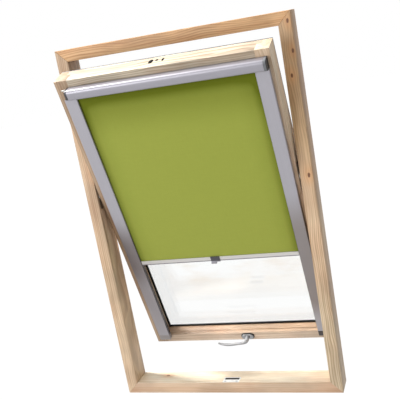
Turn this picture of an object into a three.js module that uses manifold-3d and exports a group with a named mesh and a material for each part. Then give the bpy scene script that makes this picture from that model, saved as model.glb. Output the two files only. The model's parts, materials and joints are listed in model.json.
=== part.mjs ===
// A pivoting roof window with a roller blind on its sash, built piece by piece.
// Millimetres. X runs to the right seen from the room, Y runs out of the room, Z runs up the window.
// The origin is the middle of the underside of the sill.
import * as THREE from 'three';
import { mergeVertices } from 'three/addons/utils/BufferGeometryUtils.js';
import Module from 'manifold-3d';

const wasm = await Module();
wasm.setup();

// Outer frame
const frameWidth = 740;
const frameHeight = 1180;
const frameDepth = 76;
const frameMember = 37;

// Gaps round the closed sash, and how far it sits behind the room face of the frame
const sideGap = 7;
const headGap = 22;
const sillGap = 16;
const sashSetBack = 7;

// Sash members
const sashDepth = 65;
const stileWidth = 41;
const topRailHeight = 55;
const bottomRailHeight = 33;

// Pivot, and how far the sash stands open
const pivotAboveMiddle = 120;
const pivotBehindSashFace = 12;
const openDegrees = 18.8;

// Clearances
const seat = 0.3; // between pieces that touch
const mitreGap = 0.2; // along a member at each mitre
const running = 0.6; // round a piece that slides or turns
const overrun = 5; // how far a cutting shape passes a face

// Facets of round shapes
const screwSides = 10;
const pinSides = 20;
const rollSides = 28;
const cornerSteps = 5;

// What follows from the sizes above
const sashWidth = frameWidth - 2 * frameMember - 2 * sideGap;
const sashHeight = frameHeight - 2 * frameMember - headGap - sillGap;
const halfSash = sashWidth / 2;
const sashTop = sashHeight / 2;
const sashBottom = -sashHeight / 2;
const openingHalf = halfSash - stileWidth;
const openingTop = sashTop - topRailHeight;
const openingBottom = sashBottom + bottomRailHeight;
const jambFace = frameWidth / 2 - frameMember;
const pivotDepth = -frameDepth / 2 + sashSetBack + pivotBehindSashFace;
const pivotHeight = frameMember + sillGap + sashHeight / 2 + pivotAboveMiddle;

const metal = (color, roughness) => new THREE.MeshStandardMaterial({ color, roughness, metalness: 1 });
const plain = (color, roughness) => new THREE.MeshStandardMaterial({ color, roughness });
const finish = {
  pine: plain(0xd2ac80, 0.6),
  sashPine: plain(0xc0a482, 0.6),
  beech: plain(0xc89c6c, 0.7),
  steel: metal(0xb8bcc2, 0.35),
  aluminium: metal(0xb0aeb8, 0.4),
  cladding: metal(0x5a5d60, 0.5),
  handle: metal(0xc9ccd0, 0.35),
  glass: plain(0xe4eeec, 0.05),
  rubber: plain(0x151515, 0.8),
  grey: plain(0x55565a, 0.5),
  black: plain(0x1c1c1e, 0.4),
  nylon: plain(0xdcdcd8, 0.5),
  fabric: plain(0x959e48, 0.9),
};

// Geometry with its shared corners merged and only its positions kept
function bare(geometry) {
  const copy = geometry.clone();
  copy.deleteAttribute('normal');
  copy.deleteAttribute('uv');
  return mergeVertices(copy);
}

function toSolid(geometry) {
  const merged = bare(geometry);
  return new wasm.Manifold(new wasm.Mesh({
    numProp: 3,
    vertProperties: new Float32Array(merged.attributes.position.array),
    triVerts: new Uint32Array(merged.index.array),
  }));
}

function toGeometry(solid) {
  const mesh = solid.getMesh();
  const geometry = new THREE.BufferGeometry();
  geometry.setAttribute('position', new THREE.BufferAttribute(new Float32Array(mesh.vertProperties), 3));
  geometry.setIndex(new THREE.BufferAttribute(new Uint32Array(mesh.triVerts), 1));
  return geometry;
}

function cut(geometry, tools) {
  return toGeometry(tools.map(toSolid).reduce((left, tool) => left.subtract(tool), toSolid(geometry)));
}

function join(geometries) {
  return toGeometry(geometries.map(toSolid).reduce((all, next) => all.add(next)));
}

// The same geometry with its faces turned outwards
function outward(geometry) {
  const merged = bare(geometry);
  const corner = [0, 1, 2].map(() => new THREE.Vector3());
  const index = Array.from(merged.index.array);
  let volume = 0;
  for (let i = 0; i < index.length; i += 3) {
    corner.forEach((v, k) => v.fromBufferAttribute(merged.attributes.position, index[i + k]));
    volume += corner[0].dot(corner[1].clone().cross(corner[2]));
  }
  if (volume < 0) merged.setIndex(index.reverse());
  return merged;
}

function box([x0, x1], [y0, y1], [z0, z1]) {
  const middle = [(x0 + x1) / 2, (y0 + y1) / 2, (z0 + z1) / 2];
  return new THREE.BoxGeometry(x1 - x0, y1 - y0, z1 - z0).translate(...middle);
}

// An outline carried straight along one axis. It is [y, z] along X, [x, z] along Y and [x, y] along Z.
const axisX = new THREE.Vector3(1, 0, 0);
const axisY = new THREE.Vector3(0, 1, 0);
const axisZ = new THREE.Vector3(0, 0, 1);

function prism(outline, holes, length) {
  const shape = new THREE.Shape(outline.map(([u, v]) => new THREE.Vector2(u, v)));
  shape.holes = holes.map((hole) => new THREE.Path(hole.map(([u, v]) => new THREE.Vector2(u, v))));
  return new THREE.ExtrudeGeometry(shape, { depth: length, bevelEnabled: false, steps: 1 });
}

function alongX(outline, [x0, x1], holes = []) {
  const turn = new THREE.Matrix4().makeBasis(axisY, axisZ, axisX);
  return prism(outline, holes, x1 - x0).applyMatrix4(turn).translate(x0, 0, 0);
}

function alongY(outline, [y0, y1], holes = []) {
  const turn = new THREE.Matrix4().makeBasis(axisX, axisZ, axisY.clone().negate());
  return prism(outline, holes, y1 - y0).applyMatrix4(turn).translate(0, y1, 0);
}

function alongZ(outline, [z0, z1], holes = []) {
  return prism(outline, holes, z1 - z0).translate(0, 0, z0);
}

function rect([u0, u1], [v0, v1]) {
  return [[u0, v0], [u1, v0], [u1, v1], [u0, v1]];
}

// A rectangle with a radius at each corner, from the lower left one anticlockwise
function rounded([u0, u1], [v0, v1], [r0, r1, r2, r3]) {
  const corners = [[u0 + r0, v0 + r0, r0], [u1 - r1, v0 + r1, r1],
    [u1 - r2, v1 - r2, r2], [u0 + r3, v1 - r3, r3]];
  return corners.flatMap(([u, v, r], quarter) => Array.from({ length: cornerSteps + 1 }, (_, i) => {
    const angle = Math.PI + (quarter + i / cornerSteps) * Math.PI / 2;
    return [u + r * Math.cos(angle), v + r * Math.sin(angle)];
  }));
}

function allRound(radius) {
  return [radius, radius, radius, radius];
}

// A round bar from one place to another along a unit axis
function rod(radius, sides, axis, place, length) {
  const turn = new THREE.Quaternion().setFromUnitVectors(axisY, axis);
  const bar = new THREE.CylinderGeometry(radius, radius, length, sides).translate(0, length / 2, 0);
  return bar.applyQuaternion(turn).translate(...place);
}

function rodX(radius, [x0, x1], [y, z], sides = pinSides) {
  return rod(radius, sides, axisX, [x0, y, z], x1 - x0);
}

function rodY(radius, [y0, y1], [x, z], sides = pinSides) {
  return rod(radius, sides, axisY, [x, y0, z], y1 - y0);
}

function tubeX(inner, outer, reach, place, sides = pinSides) {
  const bore = rodX(inner, [reach[0] - overrun, reach[1] + overrun], place, sides);
  return cut(rodX(outer, reach, place, sides), [bore]);
}

// The hole for a countersunk screw whose head lies at the origin facing +Y
const screwKinds = {
  plate: { shank: 2, head: 4, sink: 2, length: 16 },
  cladding: { shank: 2, head: 3.6, sink: 1.6, length: 20 },
  blind: { shank: 1.7, head: 3.2, sink: 1.5, length: 14 },
};

function screwHole({ shank, head, sink, length }) {
  const profile = [[0, -length - seat], [shank + seat, -length - seat], [shank + seat, -sink],
    [head + seat, 0], [head + seat, overrun], [0, overrun]];
  return outward(new THREE.LatheGeometry(profile.map(([r, y]) => new THREE.Vector2(r, y)), screwSides));
}

function screwHoles(kind, facing, places) {
  const turn = new THREE.Quaternion().setFromUnitVectors(axisY, facing);
  return places.map((place) => screwHole(kind).applyQuaternion(turn).translate(...place));
}

// Four members round a rectangle. The outline is [depth, inset]; mitred ends draw in by the inset.
// The shares make a side narrower than the outline.
const evenShares = { bottom: 1, top: 1, left: 1, right: 1 };

function ring(outline, width, height, middle, shares = evenShares) {
  const side = (length, angle, x, z, own, [before, after]) => {
    const bar = alongX(outline.map(([depth, inset]) => [depth, inset * own]), [-length / 2, length / 2]);
    const at = bar.attributes.position;
    for (let i = 0; i < at.count; i++) {
      const next = at.getX(i) < 0 ? before : after;
      at.setX(i, at.getX(i) - Math.sign(at.getX(i)) * (at.getZ(i) * next / own + mitreGap));
    }
    return bar.rotateY(angle).translate(x, 0, middle + z);
  };
  const { bottom, top, left, right } = shares;
  return {
    bottom: side(width, 0, 0, -height / 2, bottom, [left, right]),
    top: side(width, Math.PI, 0, height / 2, top, [right, left]),
    left: side(height, Math.PI / 2, -width / 2, 0, left, [top, bottom]),
    right: side(height, -Math.PI / 2, width / 2, 0, right, [bottom, top]),
  };
}

function addTo(group, name, geometry, material) {
  const mesh = new THREE.Mesh(geometry, material);
  mesh.name = name;
  group.add(mesh);
}

// The pivot hardware shares these sizes on both sides of the gap
const pivot = {
  pinRadius: 6,
  plateThickness: 2,
  plateWidth: 22,
  plateHeight: 90,
  screwSpacing: 60,
  pinInJamb: 12,
  pinInStile: 14,
  bushWall: 2.2,
  flangeRadius: 10,
};
const bushRadius = pivot.pinRadius + seat + pivot.bushWall;

// A plate with round ends, as [depth, height], with a hole for the pivot pin
function pivotPlate(reach, depth, height, holeRadius) {
  const half = pivot.plateWidth / 2;
  const outline = rounded([depth - half, depth + half],
    [height - pivot.plateHeight / 2, height + pivot.plateHeight / 2], allRound(half));
  const bore = rodX(holeRadius, [reach[0] - overrun, reach[1] + overrun], [depth, height]);
  return cut(alongX(outline, reach), [bore]);
}

// Reach along X of something that lies between two distances from the middle, on one side
function sideways(side, near, far) {
  return side < 0 ? [-far, -near] : [near, far];
}

const twoSides = [-1, 1];
const sideNames = ['left', 'right'];

// The strike plate in the sill, and the claw that comes down into it
const handleX = 22;
const handleAboveEdge = 18;
const handleZ = sashBottom + handleAboveEdge;
const claw = { reach: 46, width: 9, thickness: 4, hubRadius: 7, depth: 20 };
const strike = {
  left: -25.5,
  right: 31.5,
  front: 2,
  depth: 33,
  thickness: 2,
  slotLeft: -22,
  slotRight: 28,
  slotDepth: 13,
  pocket: 16,
  cornerRadius: 2,
  screwFromFront: 8,
  screwFromEnd: 9,
};

const dowel = { radius: 5, length: 32 };
const headSeal = { width: 12, inGroove: 6, below: 1.5, setIn: 12, fromBack: 13, lip: 4 };

function buildFrame() {
  const frame = new THREE.Group();
  const outline = rect([-frameDepth / 2, frameDepth / 2], [0, frameMember]);
  const members = ring(outline, frameWidth, frameHeight, frameHeight / 2);

  // A beech dowel crosses each mitre square to it
  const corners = twoSides.flatMap((side) => twoSides.map((up) => ({ side, up })));
  const dowelAt = ({ side, up }, grow) => {
    const across = new THREE.Vector3(-side, 0, up).normalize();
    const middle = new THREE.Vector3(side * (frameWidth - frameMember) / 2, 0,
      frameHeight / 2 + up * (frameHeight - frameMember) / 2);
    const length = dowel.length + 2 * grow;
    const start = middle.addScaledVector(across, -length / 2);
    return rod(dowel.radius + grow, screwSides, across, start.toArray(), length);
  };
  const dowelHoles = corners.map((corner) => dowelAt(corner, seat));

  // Strike plate let into the top of the sill, over the pocket for the claw
  const clawLine = -frameDepth / 2 + sashSetBack + claw.depth;
  const plateFront = -frameDepth / 2 + strike.front;
  const slot = [[strike.slotLeft, strike.slotRight],
    [clawLine - strike.slotDepth / 2, clawLine + strike.slotDepth / 2]];
  const plateX = [strike.left, strike.right];
  const plateY = [plateFront, plateFront + strike.depth];
  const plateHoles = screwHoles(screwKinds.plate, axisZ,
    [strike.left + strike.screwFromEnd, strike.right - strike.screwFromEnd]
      .map((x) => [x, plateFront + strike.screwFromFront, frameMember]));
  const plateBody = alongZ(rounded(plateX, plateY, allRound(strike.cornerRadius)),
    [frameMember - strike.thickness, frameMember]);
  const recess = box([plateX[0] - seat, plateX[1] + seat], [plateY[0] - seat, plateY[1] + seat],
    [frameMember - strike.thickness - seat, frameMember + overrun]);
  const slotCut = box(...slot, [frameMember - strike.thickness - overrun, frameMember + overrun]);
  const pocket = box(...slot, [frameMember - strike.pocket, frameMember + overrun]);

  // Pivot plates on the jambs, and the pins that pass through them into the sash
  const plateNear = jambFace - seat - pivot.plateThickness;
  const pinCentre = [pivotDepth, pivotHeight];
  const pins = twoSides.map((side) => rodX(pivot.pinRadius,
    sideways(side, halfSash - pivot.pinInStile, jambFace + pivot.pinInJamb), pinCentre));
  const pinBores = twoSides.map((side) => rodX(pivot.pinRadius + seat,
    sideways(side, jambFace - overrun, jambFace + pivot.pinInJamb + seat), pinCentre));
  const jambHoles = twoSides.map((side) => screwHoles(screwKinds.plate, axisX.clone().multiplyScalar(-side),
    twoSides.map((up) => [side * plateNear, pivotDepth, pivotHeight + up * pivot.screwSpacing / 2])));

  // Rubber seal in a groove under the head
  const sealY = frameDepth / 2 - headSeal.fromBack;
  const underHead = frameHeight - frameMember;
  const sealOutline = [[-headSeal.width, headSeal.inGroove], [headSeal.width, headSeal.inGroove],
    [headSeal.width, 0], [headSeal.lip, -headSeal.below], [-headSeal.lip, -headSeal.below],
    [-headSeal.width, 0]].map(([across, up]) => [sealY + across / 2, underHead + up]);
  const sealReach = [-jambFace + headSeal.setIn, jambFace - headSeal.setIn];
  const grooveSide = headSeal.width / 2 + seat;
  const sealGroove = box([sealReach[0] - seat, sealReach[1] + seat], [sealY - grooveSide, sealY + grooveSide],
    [underHead - overrun, underHead + headSeal.inGroove + seat]);

  const sillCuts = [...dowelHoles, recess, pocket, ...plateHoles];
  addTo(frame, 'frame_sill', cut(members.bottom, sillCuts), finish.pine);
  addTo(frame, 'frame_head', cut(members.top, [...dowelHoles, sealGroove]), finish.pine);
  addTo(frame, 'strike_plate', cut(plateBody, [slotCut, ...plateHoles]), finish.steel);
  addTo(frame, 'head_seal', alongX(sealOutline, sealReach), finish.rubber);
  twoSides.forEach((side, i) => {
    const plate = pivotPlate(sideways(side, plateNear, plateNear + pivot.plateThickness), ...pinCentre,
      pivot.pinRadius + seat);
    addTo(frame, 'frame_' + sideNames[i] + '_jamb',
      cut(members[sideNames[i]], [...dowelHoles, pinBores[i], ...jambHoles[i]]), finish.pine);
    addTo(frame, 'frame_' + sideNames[i] + '_pivot_plate', cut(plate, jambHoles[i]), finish.steel);
    addTo(frame, sideNames[i] + '_pivot_pin', pins[i], finish.steel);
  });
  corners.forEach((corner) => {
    const name = (corner.up > 0 ? 'upper_' : 'lower_') + sideNames[(corner.side + 1) / 2] + '_dowel';
    addTo(frame, name, dowelAt(corner, 0), finish.beech);
  });
  return frame;
}

// Glazing: how the double unit sits in its rebate
const rebateWidth = 14;
const bottomRebate = 20;
const glazing = {
  pane: 4,
  cavity: 12,
  edgeGap: 0.8,
  gasket: 2.4,
  gasketShows: 4,
  spacerInset: 0.7,
  spacerWidth: 6,
  outerGasket: 1.5,
};
const unitDepth = 2 * glazing.pane + glazing.cavity;
const unitFace = sashDepth - unitDepth;
const lipDepth = unitFace - glazing.gasket - 2 * seat;
const rebateHalf = openingHalf + rebateWidth;
const rebateTop = openingTop + rebateWidth;
const rebateBottom = openingBottom - bottomRebate;

// A rectangle drawn in from the rebate
function inRebate(inset) {
  return rect([-rebateHalf + inset, rebateHalf - inset], [rebateBottom + inset, rebateTop - inset]);
}

function addGlazing(sash) {
  const back = (depth) => [depth, depth + glazing.pane];
  const spacerEdge = glazing.edgeGap + glazing.spacerInset;
  const pane = (depth) => alongY(inRebate(glazing.edgeGap), back(depth));
  addTo(sash, 'inner_glass_pane', pane(unitFace), finish.glass);
  addTo(sash, 'outer_glass_pane', pane(sashDepth - glazing.pane), finish.glass);
  addTo(sash, 'glazing_spacer', alongY(inRebate(spacerEdge),
    [unitFace + glazing.pane + seat, sashDepth - glazing.pane - seat],
    [inRebate(spacerEdge + glazing.spacerWidth)]), finish.aluminium);
  const shows = rect([-openingHalf + glazing.gasketShows, openingHalf - glazing.gasketShows],
    [openingBottom + glazing.gasketShows, openingTop - glazing.gasketShows]);
  addTo(sash, 'inner_glazing_gasket', alongY(inRebate(2 * seat),
    [lipDepth + seat, lipDepth + seat + glazing.gasket], [shows]), finish.rubber);
}

// Aluminium covers round the outside of the sash, which hold the glass in
const cover = { width: 50, rise: 6, wall: 1.6, step: 4, lip: 3.2, screwInset: 17, screwFromEnd: 180 };
const coverShares = { top: 1, bottom: 0.44, left: 0.74, right: 0.74 };

function addCladding(sash) {
  const foot = sashDepth + seat;
  const lipUnder = glazing.outerGasket + seat;
  const outline = [[0, 0], [cover.rise - cover.lip / 2, 0], [cover.rise, cover.lip / 2],
    [cover.rise, cover.width - 2 * cover.step], [cover.lip + seat, cover.width - cover.step],
    [cover.lip + seat, cover.width], [lipUnder, cover.width],
    [lipUnder, cover.width - cover.step - cover.wall / 2],
    [cover.rise - cover.wall, cover.width - 2 * cover.step - cover.wall],
    [cover.rise - cover.wall, cover.wall], [0, cover.wall]].map(([rise, inset]) => [foot + rise, inset]);
  const covers = ring(outline, sashWidth, sashHeight, 0, coverShares);
  const gasketEdge = cover.width - cover.step;
  const within = (inset) => rect([-halfSash + inset * coverShares.left, halfSash - inset * coverShares.right],
    [sashBottom + inset * coverShares.bottom, sashTop - inset * coverShares.top]);
  const coverGasket = alongY(within(gasketEdge), [foot, foot + glazing.outerGasket], [within(cover.width)]);
  const head = foot + cover.rise;
  const [low, high] = [within(cover.screwInset)[0], within(cover.screwInset)[2]];
  const places = twoSides.flatMap((side) => [
    [low[0], head, side * (sashTop - cover.screwFromEnd)],
    [high[0], head, side * (sashTop - cover.screwFromEnd)],
    [side * (halfSash - cover.screwFromEnd), head, low[1]],
    [side * (halfSash - cover.screwFromEnd), head, high[1]]]);
  const holes = screwHoles(screwKinds.cladding, axisY, places);
  Object.entries(covers).forEach(([side, body]) => {
    addTo(sash, 'cladding_' + side, cut(body, holes), finish.cladding);
  });
  addTo(sash, 'outer_glazing_gasket', coverGasket, finish.rubber);
  return holes;
}

// The roller blind. Its middle stands a little right of the middle of the sash.
const blindShift = 6;
const rail = {
  fromSashEdge: 15,
  width: 40,
  depth: 16,
  wall: 1.5,
  slot: 3.2,
  foot: 14,
  belowCassette: 3,
  capLength: 22,
  capPlug: 4.5,
  screwFromEdge: 10,
};
const cassette = {
  belowTop: 20,
  height: 32,
  depth: 32,
  wall: 1.4,
  leftInset: 24,
  rightInset: 9,
  frontTop: 10,
  frontBottom: 7,
  backRadius: 1.5,
  slotFrom: 4,
  slotTo: 15,
  clip: 1.6,
};
const fabricDepth = 9;
const fabricThickness = 0.6;
const fabricInRail = 12;
const bar = { z: -153, height: 17, depth: 8, wall: 1.2, slot: 1.8, fabricInside: 5 };

const railEdge = halfSash - rail.fromSashEdge;
const railInner = railEdge - rail.width;
const railFoot = openingBottom + rail.foot;
const cassetteTop = sashTop - cassette.belowTop;
const cassetteBottom = cassetteTop - cassette.height;
const cassetteBack = 2 * seat + cassette.clip;
const cassetteX = [blindShift - railEdge + cassette.leftInset, blindShift + railEdge - cassette.rightInset];
const railZ = [railFoot, cassetteBottom - rail.belowCassette];
const fabricX = [blindShift - railInner - fabricInRail, blindShift + railInner + fabricInRail];
const roller = { tube: 9.5, tubeWall: 1.2, rolled: 11.2, pastFabric: 0.6, pin: 3, plug: 12, springRod: 210 };
const rollerDepth = fabricDepth + fabricThickness / 2 + seat + roller.rolled;
const rollerAt = [-rollerDepth, (cassetteTop + cassetteBottom) / 2];
const barTop = bar.z + bar.height / 2;
const barBottom = bar.z - bar.height / 2;
const barX = [blindShift - railInner + 2 * running, blindShift + railInner - 2 * running];

// Outline of the cassette as [depth, height], drawn in by an inset
function cassetteOutline(inset) {
  const corner = (radius) => Math.max(radius - inset, seat);
  return rounded([-cassetteBack - cassette.depth + inset, -cassetteBack - inset],
    [cassetteBottom + inset, cassetteTop - inset],
    [cassette.frontBottom, cassette.backRadius, cassette.backRadius, cassette.frontTop].map(corner));
}

const cap = { plugLeft: 2, plugRight: 5, left: 8, leftInset: 1.5, right: 9, pinDeep: 6 };
const tension = { radius: 2.2, out: 15, deep: 3, depth: 12, belowTop: 5.5 };

function addCassette(sash) {
  const [left, right] = cassetteX;
  const shell = alongX(cassetteOutline(0), cassetteX, [cassetteOutline(cassette.wall)]);
  const slot = box([left - overrun, right + overrun], [-cassette.slotTo, -cassette.slotFrom],
    [cassetteBottom - overrun, cassetteBottom + overrun]);
  addTo(sash, 'blind_cassette', cut(shell, [slot]), finish.aluminium);

  const inner = cassetteOutline(cassette.wall + seat);
  const tensionAt = [-tension.depth, cassetteTop - tension.belowTop];
  const capLeft = join([alongX(inner, [left - 2 * seat, left + cap.plugLeft]),
    alongX(cassetteOutline(cap.leftInset), [left - cap.left, left - seat])]);
  const capRight = join([alongX(inner, [right - cap.plugRight, right + 2 * seat]),
    alongX(cassetteOutline(0), [right + seat, right + cap.right])]);
  const pinHole = (reach) => rodX(roller.pin + seat, reach, rollerAt);
  const leftFace = left - cap.left;
  const tensionHole = rodX(tension.radius + seat, [leftFace - overrun, leftFace + tension.deep + seat],
    tensionAt);
  const leftHole = pinHole([left + cap.plugLeft - cap.pinDeep, left + cap.plugLeft + overrun]);
  const rightHole = pinHole([right - cap.plugRight - overrun, right - cap.plugRight + cap.pinDeep]);
  const tensionBody = rodX(tension.radius, [leftFace - tension.out, leftFace + tension.deep], tensionAt);
  addTo(sash, 'cassette_left_cap', cut(capLeft, [leftHole, tensionHole]), finish.grey);
  addTo(sash, 'cassette_right_cap', cut(capRight, [rightHole]), finish.black);
  addTo(sash, 'tension_pin', tensionBody, finish.nylon);

  // Pins that carry the roller: the left one is long and holds the spring
  const leftEnd = left + cap.plugLeft - cap.pinDeep + seat;
  const springEnd = leftEnd + roller.springRod;
  const rightPin = [fabricX[1] + roller.pastFabric - roller.plug, right - cap.plugRight + cap.pinDeep - seat];
  addTo(sash, 'spring_rod', rodX(roller.pin, [leftEnd, springEnd], rollerAt), finish.steel);
  addTo(sash, 'roller_right_pin', rodX(roller.pin, rightPin, rollerAt), finish.steel);
  return springEnd;
}

function buildRoller(sash, springEnd) {
  const body = new THREE.Group();
  const tubeX0 = fabricX[0] - roller.pastFabric;
  const tubeX1 = fabricX[1] + roller.pastFabric;
  const bore = roller.tube - roller.tubeWall;
  const plugs = [[tubeX0, tubeX0 + roller.plug], [tubeX1 - roller.plug, tubeX1]];
  const tube = tubeX(bore, roller.tube, [tubeX0, tubeX1], rollerAt, rollSides);
  const rolled = tubeX(roller.tube + seat, roller.rolled, fabricX, rollerAt, rollSides);
  addTo(body, 'roller_tube', tube, finish.aluminium);
  addTo(body, 'fabric_roll', rolled, finish.fabric);
  plugs.forEach((reach, i) => addTo(body, 'roller_' + sideNames[i] + '_plug',
    tubeX(roller.pin + seat, bore - seat, reach, rollerAt, pinSides), finish.nylon));
  addTo(body, 'balance_spring', tubeX(roller.pin + seat, bore - running,
    [tubeX0 + roller.plug + seat, springEnd - roller.plug], rollerAt, pinSides), finish.steel);
  sash.add(body);
}

// Side rails: an open box with a slot for the fabric facing the other rail
function railOutline(side) {
  const { width, depth, wall, slot } = rail;
  const front = -seat - depth;
  const slotAt = [-fabricDepth - slot / 2, -fabricDepth + slot / 2];
  const points = [[wall, front], [width - wall, front], [width, front + wall], [width, slotAt[0]],
    [width - wall, slotAt[0]], [width - wall, front + wall], [wall, front + wall], [wall, -seat - wall],
    [width - wall, -seat - wall], [width - wall, slotAt[1]], [width, slotAt[1]], [width, -seat], [0, -seat],
    [0, front + wall]];
  return points.map(([u, y]) => [blindShift + side * (railEdge - u), y]);
}

function addRails(sash, clips) {
  const heights = [railZ[0] + rail.width, (railZ[0] + railZ[1]) / 2, railZ[1] - rail.width];
  const faceDepth = -seat - rail.wall;
  const places = twoSides.flatMap((side) => heights.map((z) =>
    [blindShift + side * (railEdge - rail.screwFromEdge), faceDepth, z]));
  const holes = screwHoles(screwKinds.blind, axisY.clone().negate(), [...places, ...clips]);
  twoSides.forEach((side, i) => {
    const body = outward(alongZ(railOutline(side), railZ));
    addTo(sash, sideNames[i] + '_guide_rail', cut(body, holes), finish.aluminium);

    // End cap: a block that closes the foot of the rail, with a plug that goes up inside it
    const at = (u) => blindShift + side * (railEdge - u);
    const ends = (a, b) => [Math.min(at(a), at(b)), Math.max(at(a), at(b))];
    const grip = rail.wall + seat;
    const block = rounded(ends(0, rail.width), [-seat - rail.depth, -seat],
      [rail.wall, seat, seat, rail.wall].map((radius) => radius + seat));
    const plug = box(ends(grip, rail.width - grip), [-seat - rail.depth + grip, -seat - grip],
      [railFoot - seat - grip, railFoot + rail.capPlug]);
    const foot = alongZ(block, [railFoot - rail.capLength, railFoot - seat]);
    addTo(sash, sideNames[i] + '_rail_end_cap', join([foot, plug]), finish.grey);
  });
  return holes;
}

const clip = { fromEnd: 85, width: 36, margin: 3, screwSpacing: 20 };

function clipPlaces() {
  const middles = [cassetteX[0] + clip.fromEnd, cassetteX[1] - clip.fromEnd];
  const reach = [cassetteBottom + clip.margin, cassetteTop - clip.margin];
  const plates = middles.map((x) =>
    box([x - clip.width / 2, x + clip.width / 2], [-seat - cassette.clip, -seat], reach));
  const places = middles.flatMap((x) => twoSides.map((side) =>
    [x + side * clip.screwSpacing / 2, -seat - cassette.clip, (reach[0] + reach[1]) / 2 + rail.wall]));
  return { plates, places };
}

// The blind's bottom bar with its glides and pull
const glide = { plug: 10, block: 26, blockDepth: 8, tongue: 1.8 };
const pull = {
  shift: -7,
  width: 30,
  tongueShift: -5,
  tongueWidth: 19,
  thickness: 2.7,
  above: 2.5,
  lean: 8,
  drop: 4,
};

function buildBar() {
  const body = new THREE.Group();
  const front = -fabricDepth - bar.depth / 2;
  const back = -fabricDepth + bar.depth / 2;
  const slot = [-fabricDepth - bar.slot / 2, -fabricDepth + bar.slot / 2];
  const { wall } = bar;
  const outline = [[slot[1], barTop], [slot[1], barTop - wall], [back - wall, barTop - wall],
    [back - wall, barBottom + wall], [front + wall, barBottom + wall], [front + wall, barTop - wall],
    [slot[0], barTop - wall], [slot[0], barTop], [front + seat, barTop], [front, barTop - seat],
    [front, barBottom + wall], [front + wall, barBottom], [back, barBottom], [back, barTop]];
  addTo(body, 'bottom_bar', outward(alongX(outline, barX)), finish.aluminium);

  const glideTop = barTop - bar.fabricInside - seat;
  twoSides.forEach((side, i) => {
    const end = barX[i];
    const reach = (from, to) => [end + side * from, end + side * to].sort((a, b) => a - b);
    const slotPast = 2 * running + rail.wall + running;
    const plug = box(reach(-glide.plug, 2 * seat), [front + wall + seat, back - wall - seat],
      [barBottom + wall + seat, glideTop]);
    const slab = (across, thickness) => box(across,
      [-fabricDepth - thickness / 2, -fabricDepth + thickness / 2], [barBottom, glideTop]);
    const tongue = slab(reach(seat, slotPast + seat), glide.tongue);
    const block = slab(reach(slotPast, slotPast + glide.block), glide.blockDepth);
    addTo(body, sideNames[i] + '_bar_glide', join([plug, tongue, block]), finish.nylon);
  });

  // A clip on the front of the bar with a tongue that leans into the room
  const pullX = blindShift + pull.shift;
  const face = front - seat;
  const foot = barBottom - seat;
  const hold = [[face, barTop + pull.above], [face, foot], [back, foot], [back, foot - pull.thickness / 2],
    [face - pull.thickness / 2, foot - pull.thickness / 2], [face - pull.thickness, foot],
    [face - pull.thickness, barTop + pull.above]];
  const tongue = [[face - pull.thickness / 2, barBottom + pull.thickness],
    [face - pull.thickness / 2, foot - pull.thickness / 2],
    [face - pull.lean, foot - pull.drop],
    [face - pull.lean - pull.thickness / 2, foot - pull.drop + pull.thickness],
    [face - pull.thickness, barBottom + pull.thickness]];
  const half = pull.width / 2;
  const tongueX = pullX + pull.tongueShift;
  const tongueHalf = pull.tongueWidth / 2;
  addTo(body, 'pull_tab', join([outward(alongX(hold, [pullX - half, pullX + half])),
    outward(alongX(tongue, [tongueX - tongueHalf, tongueX + tongueHalf]))]), finish.grey);
  return body;
}

function addFabric(sash) {
  const reach = [-fabricDepth - fabricThickness / 2, -fabricDepth + fabricThickness / 2];
  addTo(sash, 'fabric_sheet', box(fabricX, reach, [barTop - bar.fabricInside, rollerAt[1]]), finish.fabric);
}

// Window handle: an oval rose, a curved lever and the claw it turns
const rose = { width: 48, height: 26, base: 2.5, cover: 4.5, inset: 3, screwFromAxis: 16, neckHole: 8 };
const lockCase = { left: 49, right: 18, above: 8, depth: 15.4, wall: 1 };
const spindle = { side: 7, end: 26 };

function oval(inset) {
  const radius = rose.height / 2 - inset;
  return rounded([handleX - rose.width / 2 + inset, handleX + rose.width / 2 - inset],
    [handleZ - radius, handleZ + radius], allRound(radius));
}

function addHandleFurniture(sash) {
  const baseReach = [-seat - rose.base, -seat];
  const coverReach = [baseReach[0] - seat - rose.cover, baseReach[0] - seat];
  const holes = screwHoles(screwKinds.plate, axisY.clone().negate(), twoSides.map((side) =>
    [handleX + side * rose.screwFromAxis, coverReach[0], handleZ]));
  const neck = rodY(rose.neckHole, [coverReach[0] - overrun, overrun], [handleX, handleZ]);
  addTo(sash, 'handle_rose_base', cut(alongY(oval(0), baseReach), [neck, ...holes]), finish.black);
  addTo(sash, 'handle_rose', cut(alongY(oval(rose.inset), coverReach), [neck, ...holes]), finish.handle);

  // Lock case in the bottom rail, open below, with a slot in which the claw swings
  const caseX = [handleX - lockCase.left, handleX + lockCase.right];
  const caseY = [claw.depth - lockCase.depth / 2, claw.depth + lockCase.depth / 2];
  const caseZ = [sashBottom + seat, handleZ + lockCase.above + lockCase.wall];
  const swing = box([caseX[0] + 2 * lockCase.wall, handleX + claw.hubRadius + 2 * running],
    [claw.depth - claw.thickness / 2 - running, claw.depth + claw.thickness / 2 + running],
    [sashBottom - overrun, handleZ + lockCase.above]);
  const spindleWay = (reach) => rodY(spindle.side / 2 * Math.SQRT2 + running, reach, [handleX, handleZ]);
  const bore = spindleWay([caseY[0] - overrun, caseY[1] + overrun]);
  addTo(sash, 'lock_case', cut(box(caseX, caseY, caseZ), [swing, bore]), finish.steel);
  const mortise = box([caseX[0] - seat, caseX[1] + seat], [caseY[0] - seat, caseY[1] + seat],
    [sashBottom - overrun, caseZ[1] + seat]);
  return [mortise, spindleWay([-overrun, claw.depth]), ...holes];
}

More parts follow.
